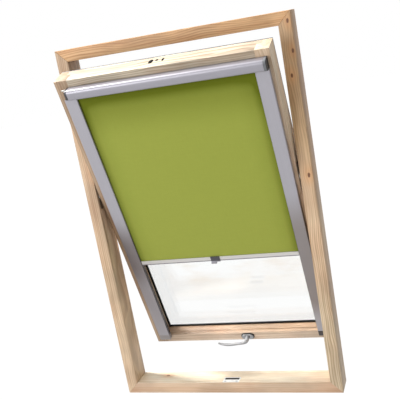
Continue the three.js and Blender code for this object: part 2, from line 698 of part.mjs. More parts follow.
// Rings round a curve, skinned and closed at both ends
function loft(curve, steps, sides, sizeAt) {
  const corners = [];
  for (let step = 0; step <= steps; step++) {
    const share = step / steps;
    const tangent = curve.getTangent(share);
    const up = axisZ.clone().addScaledVector(tangent, -tangent.z).normalize();
    const across = tangent.clone().cross(up);
    const [tall, thick] = sizeAt(share);
    for (let i = 0; i < sides; i++) {
      const angle = (i / sides) * 2 * Math.PI;
      corners.push(curve.getPoint(share).addScaledVector(up, tall * Math.cos(angle))
        .addScaledVector(across, thick * Math.sin(angle)));
    }
  }
  const index = [];
  for (let step = 0; step < steps; step++) {
    for (let i = 0; i < sides; i++) {
      const [a, b] = [step * sides + i, step * sides + (i + 1) % sides];
      index.push(a, b, b + sides, a, b + sides, a + sides);
    }
  }
  const last = steps * sides;
  for (let i = 1; i < sides - 1; i++) index.push(0, i + 1, i, last, last + i, last + i + 1);
  return outward(new THREE.BufferGeometry().setFromPoints(corners).setIndex(index));
}

// The lever's middle line as shares of its length, of its reach into the room and of its dip
const lever = {
  length: 104,
  out: 36,
  dip: 6.2,
  start: 3,
  neck: 7.3,
  tall: 5.6,
  thick: 4.8,
  tipTall: 3.9,
  tipThick: 3.2,
};
const leverFacets = { steps: 26, sides: 12 };
const leverShares = [[0, 0.36, 0], [0.005, 0.66, 0], [0.045, 0.88, 0.05], [0.14, 0.97, 0.15], [0.31, 1, 0.36],
  [0.5, 1, 0.88], [0.68, 1, 1], [0.85, 0.99, 0.61], [1, 0.97, -0.29]];
const leverShapeShares = {
  blade: [0.2, 0.5],
  point: [0.75, 1],
  round: 0.96,
  roundSpan: 0.045,
  roundLeast: 0.05,
};

function buildHandle() {
  const body = new THREE.Group();
  const path = leverShares.map(([along, out, dip]) =>
    new THREE.Vector3(handleX - along * lever.length, -out * lever.out, handleZ - dip * lever.dip));
  const start = new THREE.Vector3(handleX, -lever.start, handleZ);
  const curve = new THREE.CatmullRomCurve3([start, ...path], false, 'centripetal');
  const sizeAt = (share) => {
    const { blade, point, round, roundSpan, roundLeast } = leverShapeShares;
    const bladed = THREE.MathUtils.smoothstep(share, ...blade);
    const pointed = THREE.MathUtils.smoothstep(share, ...point);
    const end = share > round ? Math.sqrt(Math.max(1 - ((share - round) / roundSpan) ** 2, roundLeast)) : 1;
    const size = (neck, middle, tip) =>
      THREE.MathUtils.lerp(THREE.MathUtils.lerp(neck, middle, bladed), tip, pointed) * end;
    return [size(lever.neck, lever.tall, lever.tipTall), size(lever.neck, lever.thick, lever.tipThick)];
  };
  addTo(body, 'handle_lever', loft(curve, leverFacets.steps, leverFacets.sides, sizeAt), finish.handle);

  const square = (side, reach) => box([handleX - side / 2, handleX + side / 2], reach,
    [handleZ - side / 2, handleZ + side / 2]);
  addTo(body, 'handle_spindle', square(spindle.side, [-lever.start + seat, spindle.end]), finish.steel);

  // The claw points the same way as the lever, and both turn down together
  const reachY = [claw.depth - claw.thickness / 2, claw.depth + claw.thickness / 2];
  const half = claw.width / 2;
  const arm = alongY(rounded([handleX - claw.reach, handleX], [handleZ - half, handleZ + half],
    [half, seat, seat, half]), reachY);
  const hub = rodY(claw.hubRadius, reachY, [handleX, handleZ]);
  const eye = square(spindle.side + 2 * seat, [reachY[0] - overrun, reachY[1] + overrun]);
  addTo(body, 'lock_hook', cut(join([arm, hub]), [eye]), finish.steel);
  return body;
}

// Rails of the sash: a front part between the stiles, a longer back part behind their lips,
// and a tenon each end
const tenon = { length: 26, depth: 12, from: 14, margin: 6 };

function sashRail(edge, height, towards, rebate) {
  const reachZ = (from, to) => [edge + towards * from, edge + towards * to].sort((a, b) => a - b);
  const between = [-openingHalf + seat, openingHalf - seat];
  const front = box(between, [0, lipDepth], reachZ(0, height));
  const back = box(between, [0, sashDepth], reachZ(0, height - rebate));
  const shoulder = box([-rebateHalf + seat, rebateHalf - seat], [lipDepth + seat, sashDepth],
    reachZ(0, height - rebate));
  const tenonShape = tenonBox(edge, height, towards, 0);
  return join([front, back, shoulder, tenonShape]);
}

function tenonBox(edge, height, towards, gap) {
  const ends = [edge + towards * (tenon.margin - gap), edge + towards * (height - tenon.margin + gap)];
  return box([-openingHalf - tenon.length - gap, openingHalf + tenon.length + gap],
    [tenon.from - gap, tenon.from + tenon.depth + gap], ends.sort((a, b) => a - b));
}

// Three small holes in the top edge, a groove in the bottom rail, and the seal under the sash
const topHoles = [
  { x: -26, depth: 38, across: 5, through: 11, down: 24 },
  { x: -8, depth: 42, across: 3, through: 4, down: 14 },
  { x: 11, depth: 40, across: 1.8, through: 7, down: 14 },
];
const groove = { from: 14, width: 3, deep: 2 };
const bottomSeal = { from: 36, width: 9, height: 8, setIn: 10 };

function buildSash() {
  const sash = new THREE.Group();
  const clips = clipPlaces();
  const blindHoles = addRails(sash, clips.places);
  const lockCuts = addHandleFurniture(sash);
  const coverHoles = addCladding(sash);
  addGlazing(sash);
  addFabric(sash);
  buildRoller(sash, addCassette(sash));
  clips.plates.forEach((plate, i) => {
    addTo(sash, 'cassette_' + sideNames[i] + '_clip', cut(plate, blindHoles), finish.steel);
  });

  // Stiles run the full height, with a rebate for the glass and mortises for the rails
  const stileOutline = [[0, 0], [stileWidth, 0], [stileWidth, lipDepth], [stileWidth - rebateWidth, lipDepth],
    [stileWidth - rebateWidth, sashDepth], [0, sashDepth]];
  const mortises = [tenonBox(sashTop, topRailHeight, -1, seat),
    tenonBox(sashBottom, bottomRailHeight, 1, seat)];
  const plateFar = halfSash + seat + pivot.plateThickness;
  const flangeFar = jambFace - 2 * seat - pivot.plateThickness;
  const pinEnd = halfSash - pivot.pinInStile;
  const pinAt = [pivotBehindSashFace, pivotAboveMiddle];
  const plateHoles = twoSides.map((side) => screwHoles(screwKinds.plate, axisX.clone().multiplyScalar(side),
    twoSides.map((up) => [side * plateFar, pinAt[0], pinAt[1] + up * pivot.screwSpacing / 2])));
  twoSides.forEach((side, i) => {
    const outline = stileOutline.map(([inset, depth]) => [side * (halfSash - inset), depth]);
    const body = outward(alongZ(outline, [sashBottom, sashTop]));
    const bore = rodX(bushRadius + seat, sideways(side, pinEnd - seat, halfSash + overrun), pinAt);
    const stileCuts = [...mortises, bore, ...plateHoles[i], ...coverHoles, ...blindHoles];
    addTo(sash, 'sash_' + sideNames[i] + '_stile', cut(body, stileCuts), finish.sashPine);
    const plate = pivotPlate(sideways(side, halfSash + seat, plateFar), ...pinAt, bushRadius + seat);
    addTo(sash, 'sash_' + sideNames[i] + '_pivot_plate', cut(plate, plateHoles[i]), finish.steel);

    // The bush has a flange that rubs between the two plates
    const sleeve = rodX(bushRadius, sideways(side, pinEnd, plateFar + seat + running), pinAt);
    const flange = rodX(pivot.flangeRadius, sideways(side, plateFar + seat, flangeFar), pinAt);
    const hole = rodX(pivot.pinRadius + seat, sideways(side, pinEnd - overrun, jambFace + overrun), pinAt);
    addTo(sash, sideNames[i] + '_pivot_bush', cut(join([sleeve, flange]), [hole]), finish.nylon);
  });

  const holesInTop = topHoles.map(({ x, depth, across, through, down }) => {
    const outline = rounded([x - across, x + across], [depth - through, depth + through],
      allRound(Math.min(across, through)));
    return alongZ(outline, [sashTop - down, sashTop + overrun]);
  });
  const grooveCut = box([-openingHalf - overrun, openingHalf + overrun],
    [groove.from, groove.from + groove.width], [openingBottom - groove.deep, openingBottom + overrun]);
  const topRail = sashRail(sashTop, topRailHeight, -1, rebateWidth);
  const bottomRail = sashRail(sashBottom, bottomRailHeight, 1, bottomRebate);
  addTo(sash, 'sash_top_rail', cut(topRail, [...holesInTop, ...coverHoles, ...blindHoles]), finish.sashPine);
  addTo(sash, 'sash_bottom_rail', cut(bottomRail, [grooveCut, ...lockCuts, ...coverHoles]), finish.sashPine);

  const under = sashBottom - seat;
  const sealBack = bottomSeal.from + bottomSeal.width;
  const sealOutline = [[bottomSeal.from, under], [bottomSeal.from, under - bottomSeal.height / 2],
    [bottomSeal.from + bottomSeal.width / 2, under - bottomSeal.height],
    [sealBack, under - bottomSeal.height / 2], [sealBack, under]];
  const sealReach = [-halfSash + bottomSeal.setIn, halfSash - bottomSeal.setIn];
  addTo(sash, 'sash_bottom_seal', alongX(sealOutline, sealReach), finish.rubber);

  sash.add(buildBar(), buildHandle());
  return sash;
}

// The sash hangs on its pivot and leans with its top into the room
const window = new THREE.Group();
const hung = new THREE.Group();
const sash = buildSash();
sash.position.set(0, -pivotBehindSashFace, -pivotAboveMiddle);
hung.position.set(0, pivotDepth, pivotHeight);
hung.rotation.x = THREE.MathUtils.degToRad(openDegrees);
hung.add(sash);
window.add(buildFrame(), hung);

export default window;
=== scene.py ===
import json
import math

import bmesh
import bpy
from mathutils import Euler, Matrix, Vector

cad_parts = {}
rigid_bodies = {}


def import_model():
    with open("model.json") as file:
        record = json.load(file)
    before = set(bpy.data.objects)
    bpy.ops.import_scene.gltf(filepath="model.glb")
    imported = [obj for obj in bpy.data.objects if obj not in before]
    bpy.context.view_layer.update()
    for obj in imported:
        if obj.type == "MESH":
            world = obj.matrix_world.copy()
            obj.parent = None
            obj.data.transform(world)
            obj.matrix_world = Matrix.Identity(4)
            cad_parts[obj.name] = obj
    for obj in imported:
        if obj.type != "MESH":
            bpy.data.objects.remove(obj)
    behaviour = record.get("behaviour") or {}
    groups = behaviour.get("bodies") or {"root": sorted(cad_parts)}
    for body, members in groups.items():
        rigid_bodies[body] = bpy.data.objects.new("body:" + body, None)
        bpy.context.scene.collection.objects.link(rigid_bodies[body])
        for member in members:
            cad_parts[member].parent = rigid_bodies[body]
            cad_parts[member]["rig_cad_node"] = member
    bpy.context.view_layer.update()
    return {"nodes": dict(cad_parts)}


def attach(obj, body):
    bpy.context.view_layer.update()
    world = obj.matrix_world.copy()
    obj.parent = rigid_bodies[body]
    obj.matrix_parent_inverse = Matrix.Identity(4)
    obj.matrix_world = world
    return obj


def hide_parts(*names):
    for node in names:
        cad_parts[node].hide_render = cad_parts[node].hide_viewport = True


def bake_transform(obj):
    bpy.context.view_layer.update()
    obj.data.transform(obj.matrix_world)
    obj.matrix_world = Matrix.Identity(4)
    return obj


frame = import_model()
nodes = frame["nodes"]
scene = bpy.context.scene
scene.view_settings.view_transform = "Standard"
mm = 0.001
quarterTurn = math.pi / 2
fullTurn = 2 * math.pi

# How the sash hangs in the frame: millimetres and degrees, as in the solids
hanging = {
    "lean": 18.8,
    "pivot": (0, -19, 707),
    "pivotOnSash": (0, 12, 120),
    "blindShift": 6,
}
lean = math.radians(hanging["lean"])
sashSpace = (Matrix.Translation(Vector(hanging["pivot"]) * mm) @ Matrix.Rotation(lean, 4, "X")
             @ Matrix.Translation(-Vector(hanging["pivotOnSash"]) * mm))
scaleDown = Matrix.Scale(mm, 4)

camera = {
    "azimuth": 0.3496,
    "elevation": 0.2422,
    "roll": -0.18,
    "distance": 2.24766,
    "target": (0.013306, -0.038, 0.665623),
    "lens": 65.66,
    "sensor": 36,
    "clip": (0.05, 60),
}


def addCamera():
    az, el, roll = camera["azimuth"], camera["elevation"], camera["roll"]
    back = Vector((math.sin(az) * math.cos(el), -math.cos(az) * math.cos(el), math.sin(el)))
    levelRight = Vector((math.cos(az), math.sin(az), 0))
    levelUp = back.cross(levelRight)
    right = levelRight * math.cos(roll) + levelUp * math.sin(roll)
    up = levelUp * math.cos(roll) - levelRight * math.sin(roll)
    turn = Matrix((right, up, back)).transposed().to_4x4()
    data = bpy.data.cameras.new("photoCamera")
    data.sensor_width = camera["sensor"]
    data.lens = camera["lens"]
    data.clip_start, data.clip_end = camera["clip"]
    eye = bpy.data.objects.new("photoCamera", data)
    eye.matrix_world = Matrix.Translation(Vector(camera["target"]) + back * camera["distance"]) @ turn
    scene.collection.objects.link(eye)
    scene.camera = eye


addCamera()
print("camera set")


def feed(tree, socket, value):
    if isinstance(value, bpy.types.NodeSocket):
        tree.links.new(value, socket)
    else:
        socket.default_value = value


# Sockets are given by name, or as _0, _1 and so on where the name is shared or empty
def addNode(tree, kind, settings=None, **values):
    node = tree.nodes.new(kind)
    for key, value in (settings or {}).items():
        setattr(node, key, value)
    for key, value in values.items():
        feed(tree, node.inputs[int(key[1:]) if key[1:].isdigit() else key], value)
    return node


def doMath(tree, operation, *values, clamp=False):
    node = addNode(tree, "ShaderNodeMath", {"operation": operation, "use_clamp": clamp})
    for socket, value in zip(node.inputs, values):
        feed(tree, socket, value)
    return node.outputs[0]


def doVector(tree, operation, *values):
    node = addNode(tree, "ShaderNodeVectorMath", {"operation": operation})
    for socket, value in zip(node.inputs, values):
        feed(tree, socket, value)
    return node.outputs["Value" if operation in ("LENGTH", "DOT_PRODUCT") else "Vector"]


def axesOf(tree, vector):
    return addNode(tree, "ShaderNodeSeparateXYZ", _0=vector).outputs


def noiseOf(tree, vector, detail, roughness, scale=1.0):
    return addNode(tree, "ShaderNodeTexNoise", _0=vector, Scale=scale, Detail=detail,
                   Roughness=roughness).outputs["Fac"]


def stretchedNoise(tree, vector, stretch, detail, roughness):
    return noiseOf(tree, doVector(tree, "MULTIPLY", vector, stretch), detail, roughness)


def rangeOf(tree, value, low, high, toLow=0.0, toHigh=1.0):
    return addNode(tree, "ShaderNodeMapRange", {"interpolation_type": "SMOOTHSTEP"}, _0=value, _1=low,
                   _2=high, _3=toLow, _4=toHigh).outputs[0]


def mixColor(tree, share, first, second, blend="MIX"):
    node = addNode(tree, "ShaderNodeMix", {"data_type": "RGBA", "blend_type": blend})
    for name, kind, value in (("Factor", "VALUE", share), ("A", "RGBA", first), ("B", "RGBA", second)):
        feed(tree, [s for s in node.inputs if s.name == name and s.type == kind][0], value)
    return [s for s in node.outputs if s.type == "RGBA"][0]


def tinted(tree, color, tint):
    return mixColor(tree, 1.0, color, tint, "MULTIPLY")


def greyOf(tree, level):
    return addNode(tree, "ShaderNodeCombineColor", _0=level, _1=level, _2=level).outputs[0]


def toLinear(value):
    return ((value / 255 + 0.055) / 1.055) ** 2.4 if value > 10 else value / 255 / 12.92


def srgb(red, green, blue):
    return toLinear(red), toLinear(green), toLinear(blue), 1


def newGroup(name, inputs, outputs):
    group = bpy.data.node_groups.new(name, "ShaderNodeTree")
    for label, kind, default in inputs:
        socket = group.interface.new_socket(label, in_out="INPUT", socket_type="NodeSocket" + kind)
        if default is not None:
            socket.default_value = default
    for label, kind in outputs:
        group.interface.new_socket(label, in_out="OUTPUT", socket_type="NodeSocket" + kind)
    return group, group.nodes.new("NodeGroupInput").outputs, group.nodes.new("NodeGroupOutput").inputs


def placeGroup(tree, group, **values):
    node = tree.nodes.new("ShaderNodeGroup")
    node.node_tree = group
    for key, value in values.items():
        feed(tree, node.inputs[key.replace("_", " ")], value)
    return node.outputs


# Pine's grain runs along X, and its rings lie round the heart. In these looks a range turns its first
# two numbers into its last two, or into 0 and 1.
grainLook = {
    "streaks": {"stretch": (2.0, 70, 70), "detail": 4, "roughness": 0.62},
    "clouds": {"stretch": (3.4, 10, 10), "detail": 2, "roughness": 0.5},
    "fibre": {"stretch": (16, 620, 620), "detail": 2, "roughness": 0.6},
    "stain": {"stretch": (4.2, 9, 9), "detail": 3, "roughness": 0.55},
    "drift": {"stretch": (6.5, 14, 14), "detail": 2, "roughness": 0.5},
    "driftShift": (3, 7, 5),
    "heart": (0.052, 0.094),
    "bend": 0.06,
    "ringRise": (0.3, 0.84),
    "ringFall": (0.88, 1.0),
    "cloudRange": (0.3, 0.7, 0.3, 0.75),
    "streakRange": (0.34, 0.7, 0.0, 0.6),
    "stainRange": (0.42, 0.7, 0.0, 0.5),
    "stainTint": srgb(236, 206, 190),
    "fibreRange": (0.25, 0.75, -0.07, 0.05),
    "driftRange": (0.3, 0.7, 0.84, 1.1),
    "ringHeight": 0.4,
    "roughness": 0.56,
    "darkRoughness": -0.1,
}


def pineGrainGroup(look):
    group, given, out = newGroup("pineGrain", [
        ("Vector", "Vector", None), ("Shift", "Vector", (0, 0, 0)), ("Ring Size", "Float", 0.006),
        ("Light", "Color", srgb(226, 190, 148)), ("Dark", "Color", srgb(186, 136, 88))],
        [("Color", "Color"), ("Height", "Float"), ("Gloss", "Float")])
    place = doVector(group, "ADD", given["Vector"], given["Shift"])
    streaks = stretchedNoise(group, place, **look["streaks"])
    clouds = stretchedNoise(group, place, **look["clouds"])
    fibre = stretchedNoise(group, place, **look["fibre"])
    stain = stretchedNoise(group, place, **look["stain"])
    drift = stretchedNoise(group, doVector(group, "ADD", place, look["driftShift"]), **look["drift"])
    bend = doMath(group, "MULTIPLY", doMath(group, "SUBTRACT", clouds, 0.5), look["bend"])
    axes = axesOf(group, place)
    overHeart = doMath(group, "ADD", axes["Y"], doMath(group, "ADD", bend, look["heart"][0]))
    besideHeart = doMath(group, "ADD", axes["Z"], doMath(group, "SUBTRACT", look["heart"][1], bend))
    fromHeart = doVector(group, "LENGTH", addNode(group, "ShaderNodeCombineXYZ", _1=overHeart,
                                                  _2=besideHeart).outputs[0])
    ring = doMath(group, "FRACT", doMath(group, "DIVIDE", fromHeart, given["Ring Size"]))
    latewood = doMath(group, "SUBTRACT", rangeOf(group, ring, *look["ringRise"]),
                      rangeOf(group, ring, *look["ringFall"]))
    ringShade = doMath(group, "MULTIPLY", latewood, rangeOf(group, clouds, *look["cloudRange"]))
    shade = doMath(group, "ADD", ringShade, rangeOf(group, streaks, *look["streakRange"]), clamp=True)
    color = mixColor(group, shade, given["Light"], given["Dark"])
    color = mixColor(group, rangeOf(group, stain, *look["stainRange"]), color,
                     tinted(group, color, look["stainTint"]))
    fine = doMath(group, "ADD", rangeOf(group, fibre, *look["fibreRange"]),
                  rangeOf(group, drift, *look["driftRange"]))
    group.links.new(tinted(group, color, greyOf(group, fine)), out["Color"])
    group.links.new(doMath(group, "ADD", doMath(group, "MULTIPLY", latewood, look["ringHeight"]), fibre),
                    out["Height"])
    group.links.new(doMath(group, "ADD", doMath(group, "MULTIPLY", shade, look["darkRoughness"]),
                           look["roughness"]), out["Gloss"])
    return group


# A knot bends the grain around itself. Its core, halo and wobble are measured in its own size.
knotLook = {
    "wobble": 0.7,
    "uneven": {"detail": 2, "roughness": 0.5, "scale": 160},
    "squeeze": (0.55, 1, 1),
    "coreRange": (0.55, 1.05, 1.0, 0.0),
    "haloBase": 2.718,
    "haloFall": -0.09,
    "push": (0, -0.75, -0.75),
}


def pineKnotGroup(look):
    group, given, out = newGroup("pineKnot", [
        ("Vector", "Vector", None), ("Centre", "Vector", (0, 0, 0)), ("Size", "Float", 0.006)],
        [("Bent", "Vector"), ("Core", "Float"), ("Halo", "Float")])
    away = doVector(group, "SUBTRACT", given["Vector"], given["Centre"])
    uneven = doMath(group, "SUBTRACT", noiseOf(group, away, **look["uneven"]), 0.5)
    squeezed = doVector(group, "LENGTH", doVector(group, "MULTIPLY", away, look["squeeze"]))
    reach = doMath(group, "ADD", doMath(group, "DIVIDE", squeezed, given["Size"]),
                   doMath(group, "MULTIPLY", uneven, look["wobble"]))
    core = rangeOf(group, reach, *look["coreRange"])
    fall = doMath(group, "MULTIPLY", doMath(group, "MULTIPLY", reach, reach), look["haloFall"])
    halo = doMath(group, "POWER", look["haloBase"], fall)
    push = doVector(group, "MULTIPLY", away, look["push"])
    scaled = addNode(group, "ShaderNodeVectorMath", {"operation": "SCALE"}, _0=push, Scale=halo).outputs[0]
    group.links.new(doVector(group, "ADD", given["Vector"], scaled), out["Bent"])
    group.links.new(core, out["Core"])
    group.links.new(halo, out["Halo"])
    return group


metalLook = {
    "brushed": {"detail": 3, "roughness": 0.6},
    "handled": {"detail": 3, "roughness": 0.55, "scale": 9},
    "handledRange": (0.3, 0.7),
    "brushedRange": (0.2, 0.8, 0.95, 1.03),
    "depth": 0.00002,
}


def metalSkinGroup(look):
    group, given, out = newGroup("metalSkin", [
        ("Vector", "Vector", None), ("Stretch", "Vector", (4, 900, 900)),
        ("Base", "Color", srgb(178, 176, 186)), ("Rough Low", "Float", 0.3), ("Rough High", "Float", 0.42)],
        [("Color", "Color"), ("Roughness", "Float"), ("Height", "Float")])
    brushed = stretchedNoise(group, given["Vector"], given["Stretch"], **look["brushed"])
    handled = noiseOf(group, given["Vector"], **look["handled"])
    low, high = look["handledRange"]
    roughness = addNode(group, "ShaderNodeMapRange", _0=handled, _1=low, _2=high, _3=given["Rough Low"],
                        _4=given["Rough High"])
    level = greyOf(group, rangeOf(group, brushed, *look["brushedRange"]))
    group.links.new(tinted(group, given["Base"], level), out["Color"])
    group.links.new(roughness.outputs[0], out["Roughness"])
    group.links.new(brushed, out["Height"])
    return group


mouldedLook = {
    "speckleDetail": 3.0,
    "handled": {"detail": 2, "roughness": 0.5, "scale": 14},
    "toneRange": (0.3, 0.7, 0.9, 1.08),
    "roughRange": (0.3, 0.7, -0.05, 0.06),
    "depth": 0.00004,
}


def mouldedGroup(look):
    group, given, out = newGroup("mouldedSkin", [
        ("Vector", "Vector", None), ("Base", "Color", (0.1, 0.1, 0.1, 1)), ("Grain", "Float", 900.0),
        ("Roughness", "Float", 0.5)],
        [("Color", "Color"), ("Roughness", "Float"), ("Height", "Float")])
    speckle = addNode(group, "ShaderNodeTexNoise", _0=given["Vector"], Scale=given["Grain"],
                      Detail=look["speckleDetail"])
    handled = noiseOf(group, given["Vector"], **look["handled"])
    level = greyOf(group, rangeOf(group, handled, *look["toneRange"]))
    group.links.new(tinted(group, given["Base"], level), out["Color"])
    group.links.new(doMath(group, "ADD", given["Roughness"], rangeOf(group, handled, *look["roughRange"])),
                    out["Roughness"])
    group.links.new(speckle.outputs["Fac"], out["Height"])
    return group


# Painted shade: the cloth is deeper in tone near its sides and top, where the rails and the cassette keep the
# light off
weaveLook = {
    "slub": {"stretch": (1400, 1400, 40), "detail": 2, "roughness": 0.6},
    "weft": {"stretch": (40, 1400, 1400), "detail": 2, "roughness": 0.6},
    "threadRange": (0.25, 0.75, 0.47, 0.53),
    "weaveTone": 0.02,
    "sideShadeRanges": ((0.01, 0.04, 0.5, 0.0), (0.01, 0.09, 0.22, 0.0)),
    "topShadeRanges": ((0.0, 0.055, 0.75, 0.0), (0.0, 0.17, 0.6, 0.0)),
}


def clothWeaveGroup(look):
    group, given, out = newGroup("clothWeave", [
        ("Vector", "Vector", None), ("Thread", "Float", 0.0009), ("Base", "Color", srgb(149, 158, 72)),
        ("Deep", "Color", srgb(112, 130, 26)), ("Middle", "Vector", (0, 0, 0)), ("Half Width", "Float", 0.28),
        ("Top", "Float", 0.5)],
        [("Color", "Color"), ("Height", "Float")])
    place = doVector(group, "SUBTRACT", given["Vector"], given["Middle"])
    axes = axesOf(group, place)
    across, along = (doMath(group, "SINE", doMath(group, "MULTIPLY", doMath(
        group, "DIVIDE", axes[axis], given["Thread"]), math.pi)) for axis in ("X", "Z"))
    weave = doMath(group, "MULTIPLY", across, along)
    slub = stretchedNoise(group, place, **look["slub"])
    weft = stretchedNoise(group, place, **look["weft"])
    thread = doMath(group, "ADD", rangeOf(group, slub, *look["threadRange"]),
                    rangeOf(group, weft, *look["threadRange"]))
    edge = doMath(group, "SUBTRACT", given["Half Width"], doMath(group, "ABSOLUTE", axes["X"]))
    below = doMath(group, "SUBTRACT", given["Top"], axes["Z"])
    side = doMath(group, "ADD", *(rangeOf(group, edge, *numbers) for numbers in look["sideShadeRanges"]))
    upper = doMath(group, "ADD", *(rangeOf(group, below, *numbers) for numbers in look["topShadeRanges"]))
    # painted shade: the colour turns to the shaded tone near the cloth's sides and top
    color = mixColor(group, doMath(group, "ADD", side, upper, clamp=True), given["Base"], given["Deep"])
    level = doMath(group, "ADD", thread, doMath(group, "MULTIPLY", weave, look["weaveTone"]))
    group.links.new(tinted(group, color, greyOf(group, level)), out["Color"])
    group.links.new(doMath(group, "ADD", weave, thread), out["Height"])
    return group


pineGrain = pineGrainGroup(grainLook)
pineKnot = pineKnotGroup(knotLook)
metalSkin = metalSkinGroup(metalLook)
mouldedSkin = mouldedGroup(mouldedLook)
clothWeave = clothWeaveGroup(weaveLook)

# How the grain's run is turned to X, as angles for a Mapping node
grainTurn = {
    "across": (0, 0, 0),
    "up": (0, quarterTurn, 0),
    "sashAcross": (-lean, 0, 0),
    "sashUp": (-lean, quarterTurn, 0),
}
facingRange = (0.6, 0.9)  # a side's own tone starts and is full where it faces its axis this squarely
skinBump = 0.5


def newMaterial(name, **plain):
    material = bpy.data.materials.new(name)
    material.use_nodes = True
    tree = material.node_tree
    shader = tree.nodes["Principled BSDF"]
    for key, value in plain.items():
        shader.inputs[key.replace("_", " ")].default_value = value
    return material, tree, shader


def coordinates(tree, kind="Object"):
    return addNode(tree, "ShaderNodeTexCoord").outputs[kind]


def turnedPlace(tree, turn):
    return addNode(tree, "ShaderNodeMapping", _0=coordinates(tree), Rotation=grainTurn[turn]).outputs[0]


def turnedOnSash(place):
    return Euler(grainTurn["sashAcross"]).to_matrix() @ (sashSpace @ (Vector(place) * mm))


def heightOnSash(depth, height):
    return turnedOnSash((0, depth, height))[2]


def addBump(tree, shader, height, depth, strength):
    bump = addNode(tree, "ShaderNodeBump", Height=height, Strength=strength, Distance=depth)
    tree.links.new(bump.outputs[0], shader.inputs["Normal"])


def putOnSkin(tree, shader, skin, color, depth):
    tree.links.new(color, shader.inputs["Base Color"])
    tree.links.new(skin["Roughness"], shader.inputs["Roughness"])
    addBump(tree, shader, skin["Height"], depth, skinBump)


def splitTone(tree, color, place, axis, bounds, other):
    return mixColor(tree, rangeOf(tree, axesOf(tree, place)[axis], *bounds), color, other)


pine = {
    "knot": srgb(112, 70, 40),
    "halo": srgb(206, 146, 92),
    "haloShare": 0.55,
    "endGrain": srgb(240, 236, 230),
    "endRange": (0.7, 0.95),
    "ring": 0.0065,
    "depth": 0.00012,
    "bump": 0.6,
    "coat": 0.12,
    "coatRoughness": 0.35,
}


# A knot is a centre and a size. The painted shade on one side is given as an axis after the turn, its sign
# and a tint.
# The painted shade towards one end is given as the bounds of the change along the grain and a tint.
def pineMaterial(name, turn, shift, light, dark, knots=(), shade=None, fade=None):
    material, tree, shader = newMaterial(name, Coat_Weight=pine["coat"], Coat_Roughness=pine["coatRoughness"])
    place = straight = turnedPlace(tree, turn)
    turned = Euler(grainTurn[turn]).to_matrix()
    core = halo = None
    for centre, size in knots:
        made = placeGroup(tree, pineKnot, Vector=place, Centre=turned @ Vector(centre), Size=size)
        place = made["Bent"]
        core = made["Core"] if core is None else doMath(tree, "MAXIMUM", core, made["Core"])
        halo = made["Halo"] if halo is None else doMath(tree, "MAXIMUM", halo, made["Halo"])
    grain = placeGroup(tree, pineGrain, Vector=place, Shift=shift, Ring_Size=pine["ring"], Light=light,
                       Dark=dark)
    color = grain["Color"]
    normal = addNode(tree, "ShaderNodeMapping", {"vector_type": "NORMAL"}, _0=coordinates(tree, "Normal"),
                     Rotation=grainTurn[turn]).outputs[0]
    facing = axesOf(tree, normal)
    color = mixColor(tree, rangeOf(tree, doMath(tree, "ABSOLUTE", facing["X"]), *pine["endRange"]), color,
                     tinted(tree, color, pine["endGrain"]))
    # painted shade on the side that faces the given way
    if shade:
        side, sign, tint = shade
        shaded = rangeOf(tree, doMath(tree, "MULTIPLY", facing[side], sign), *facingRange)
        color = mixColor(tree, shaded, color, tinted(tree, color, tint))
    # painted shade towards one end along the grain
    if fade:
        bounds, tint = fade
        color = splitTone(tree, color, straight, "X", bounds, tinted(tree, color, tint))
    if knots:
        color = mixColor(tree, doMath(tree, "MULTIPLY", halo, pine["haloShare"]), color, pine["halo"])
        color = mixColor(tree, core, color, pine["knot"])
    tree.links.new(color, shader.inputs["Base Color"])
    tree.links.new(grain["Gloss"], shader.inputs["Roughness"])
    addBump(tree, shader, grain["Height"], pine["depth"], pine["bump"])
    return material


def metalMaterial(name, color, rough, turn="across", stretch=(4, 900, 900), metallic=1.0):
    material, tree, shader = newMaterial(name, Metallic=metallic)
    skin = placeGroup(tree, metalSkin, Vector=turnedPlace(tree, turn), Stretch=stretch, Base=color,
                      Rough_Low=rough[0], Rough_High=rough[1])
    putOnSkin(tree, shader, skin, skin["Color"], metalLook["depth"])
    return material


def mouldedMaterial(name, color, roughness, grain, **plain):
    material, tree, shader = newMaterial(name, **plain)
    skin = placeGroup(tree, mouldedSkin, Vector=coordinates(tree), Base=color, Grain=grain,
                      Roughness=roughness)
    putOnSkin(tree, shader, skin, skin["Color"], mouldedLook["depth"])
    return material


def splitMaterial(name, skinGroup, depth, turn, axis, bounds, other, metallic=0.0, **values):
    material, tree, shader = newMaterial(name, Metallic=metallic, Specular_IOR_Level=0.2)
    place = turnedPlace(tree, turn)
    skin = placeGroup(tree, skinGroup, Vector=place, **values)
    putOnSkin(tree, shader, skin, splitTone(tree, skin["Color"], place, axis, bounds, other), depth)
    return material


# Painted shade and painted reflection: the rails' faces are darker in a band, whose heights on the sash
# differ from rail to rail, and their sides darker still within it
rail = {
    "base": srgb(172, 170, 177),
    "side": srgb(84, 76, 74),
    "rough": (0.42, 0.52),
    "stretch": (900, 900, 4),
    "metallic": 0.6,
    "depth": -9,
}


def railMaterial(name, shaded, bandTop, bandBottom):
    material, tree, shader = newMaterial(name, Metallic=rail["metallic"])
    place = turnedPlace(tree, "sashAcross")
    skin = placeGroup(tree, metalSkin, Vector=place, Stretch=rail["stretch"], Base=rail["base"],
                      Rough_Low=rail["rough"][0], Rough_High=rail["rough"][1])
    height = axesOf(tree, place)["Z"]
    shadow, light = (rangeOf(tree, height, *(heightOnSash(rail["depth"], z) for z in band))
                     for band in (bandTop, bandBottom))
    color = mixColor(tree, light, mixColor(tree, shadow, skin["Color"], shaded), skin["Color"])
    facing = doMath(tree, "ABSOLUTE", axesOf(tree, coordinates(tree, "Normal"))["X"])
    # painted shade on the rails' sides within the darker band
    sides = doMath(tree, "MULTIPLY", rangeOf(tree, facing, *facingRange), shadow)
    putOnSkin(tree, shader, skin, mixColor(tree, sides, color, rail["side"]), metalLook["depth"])
    return material
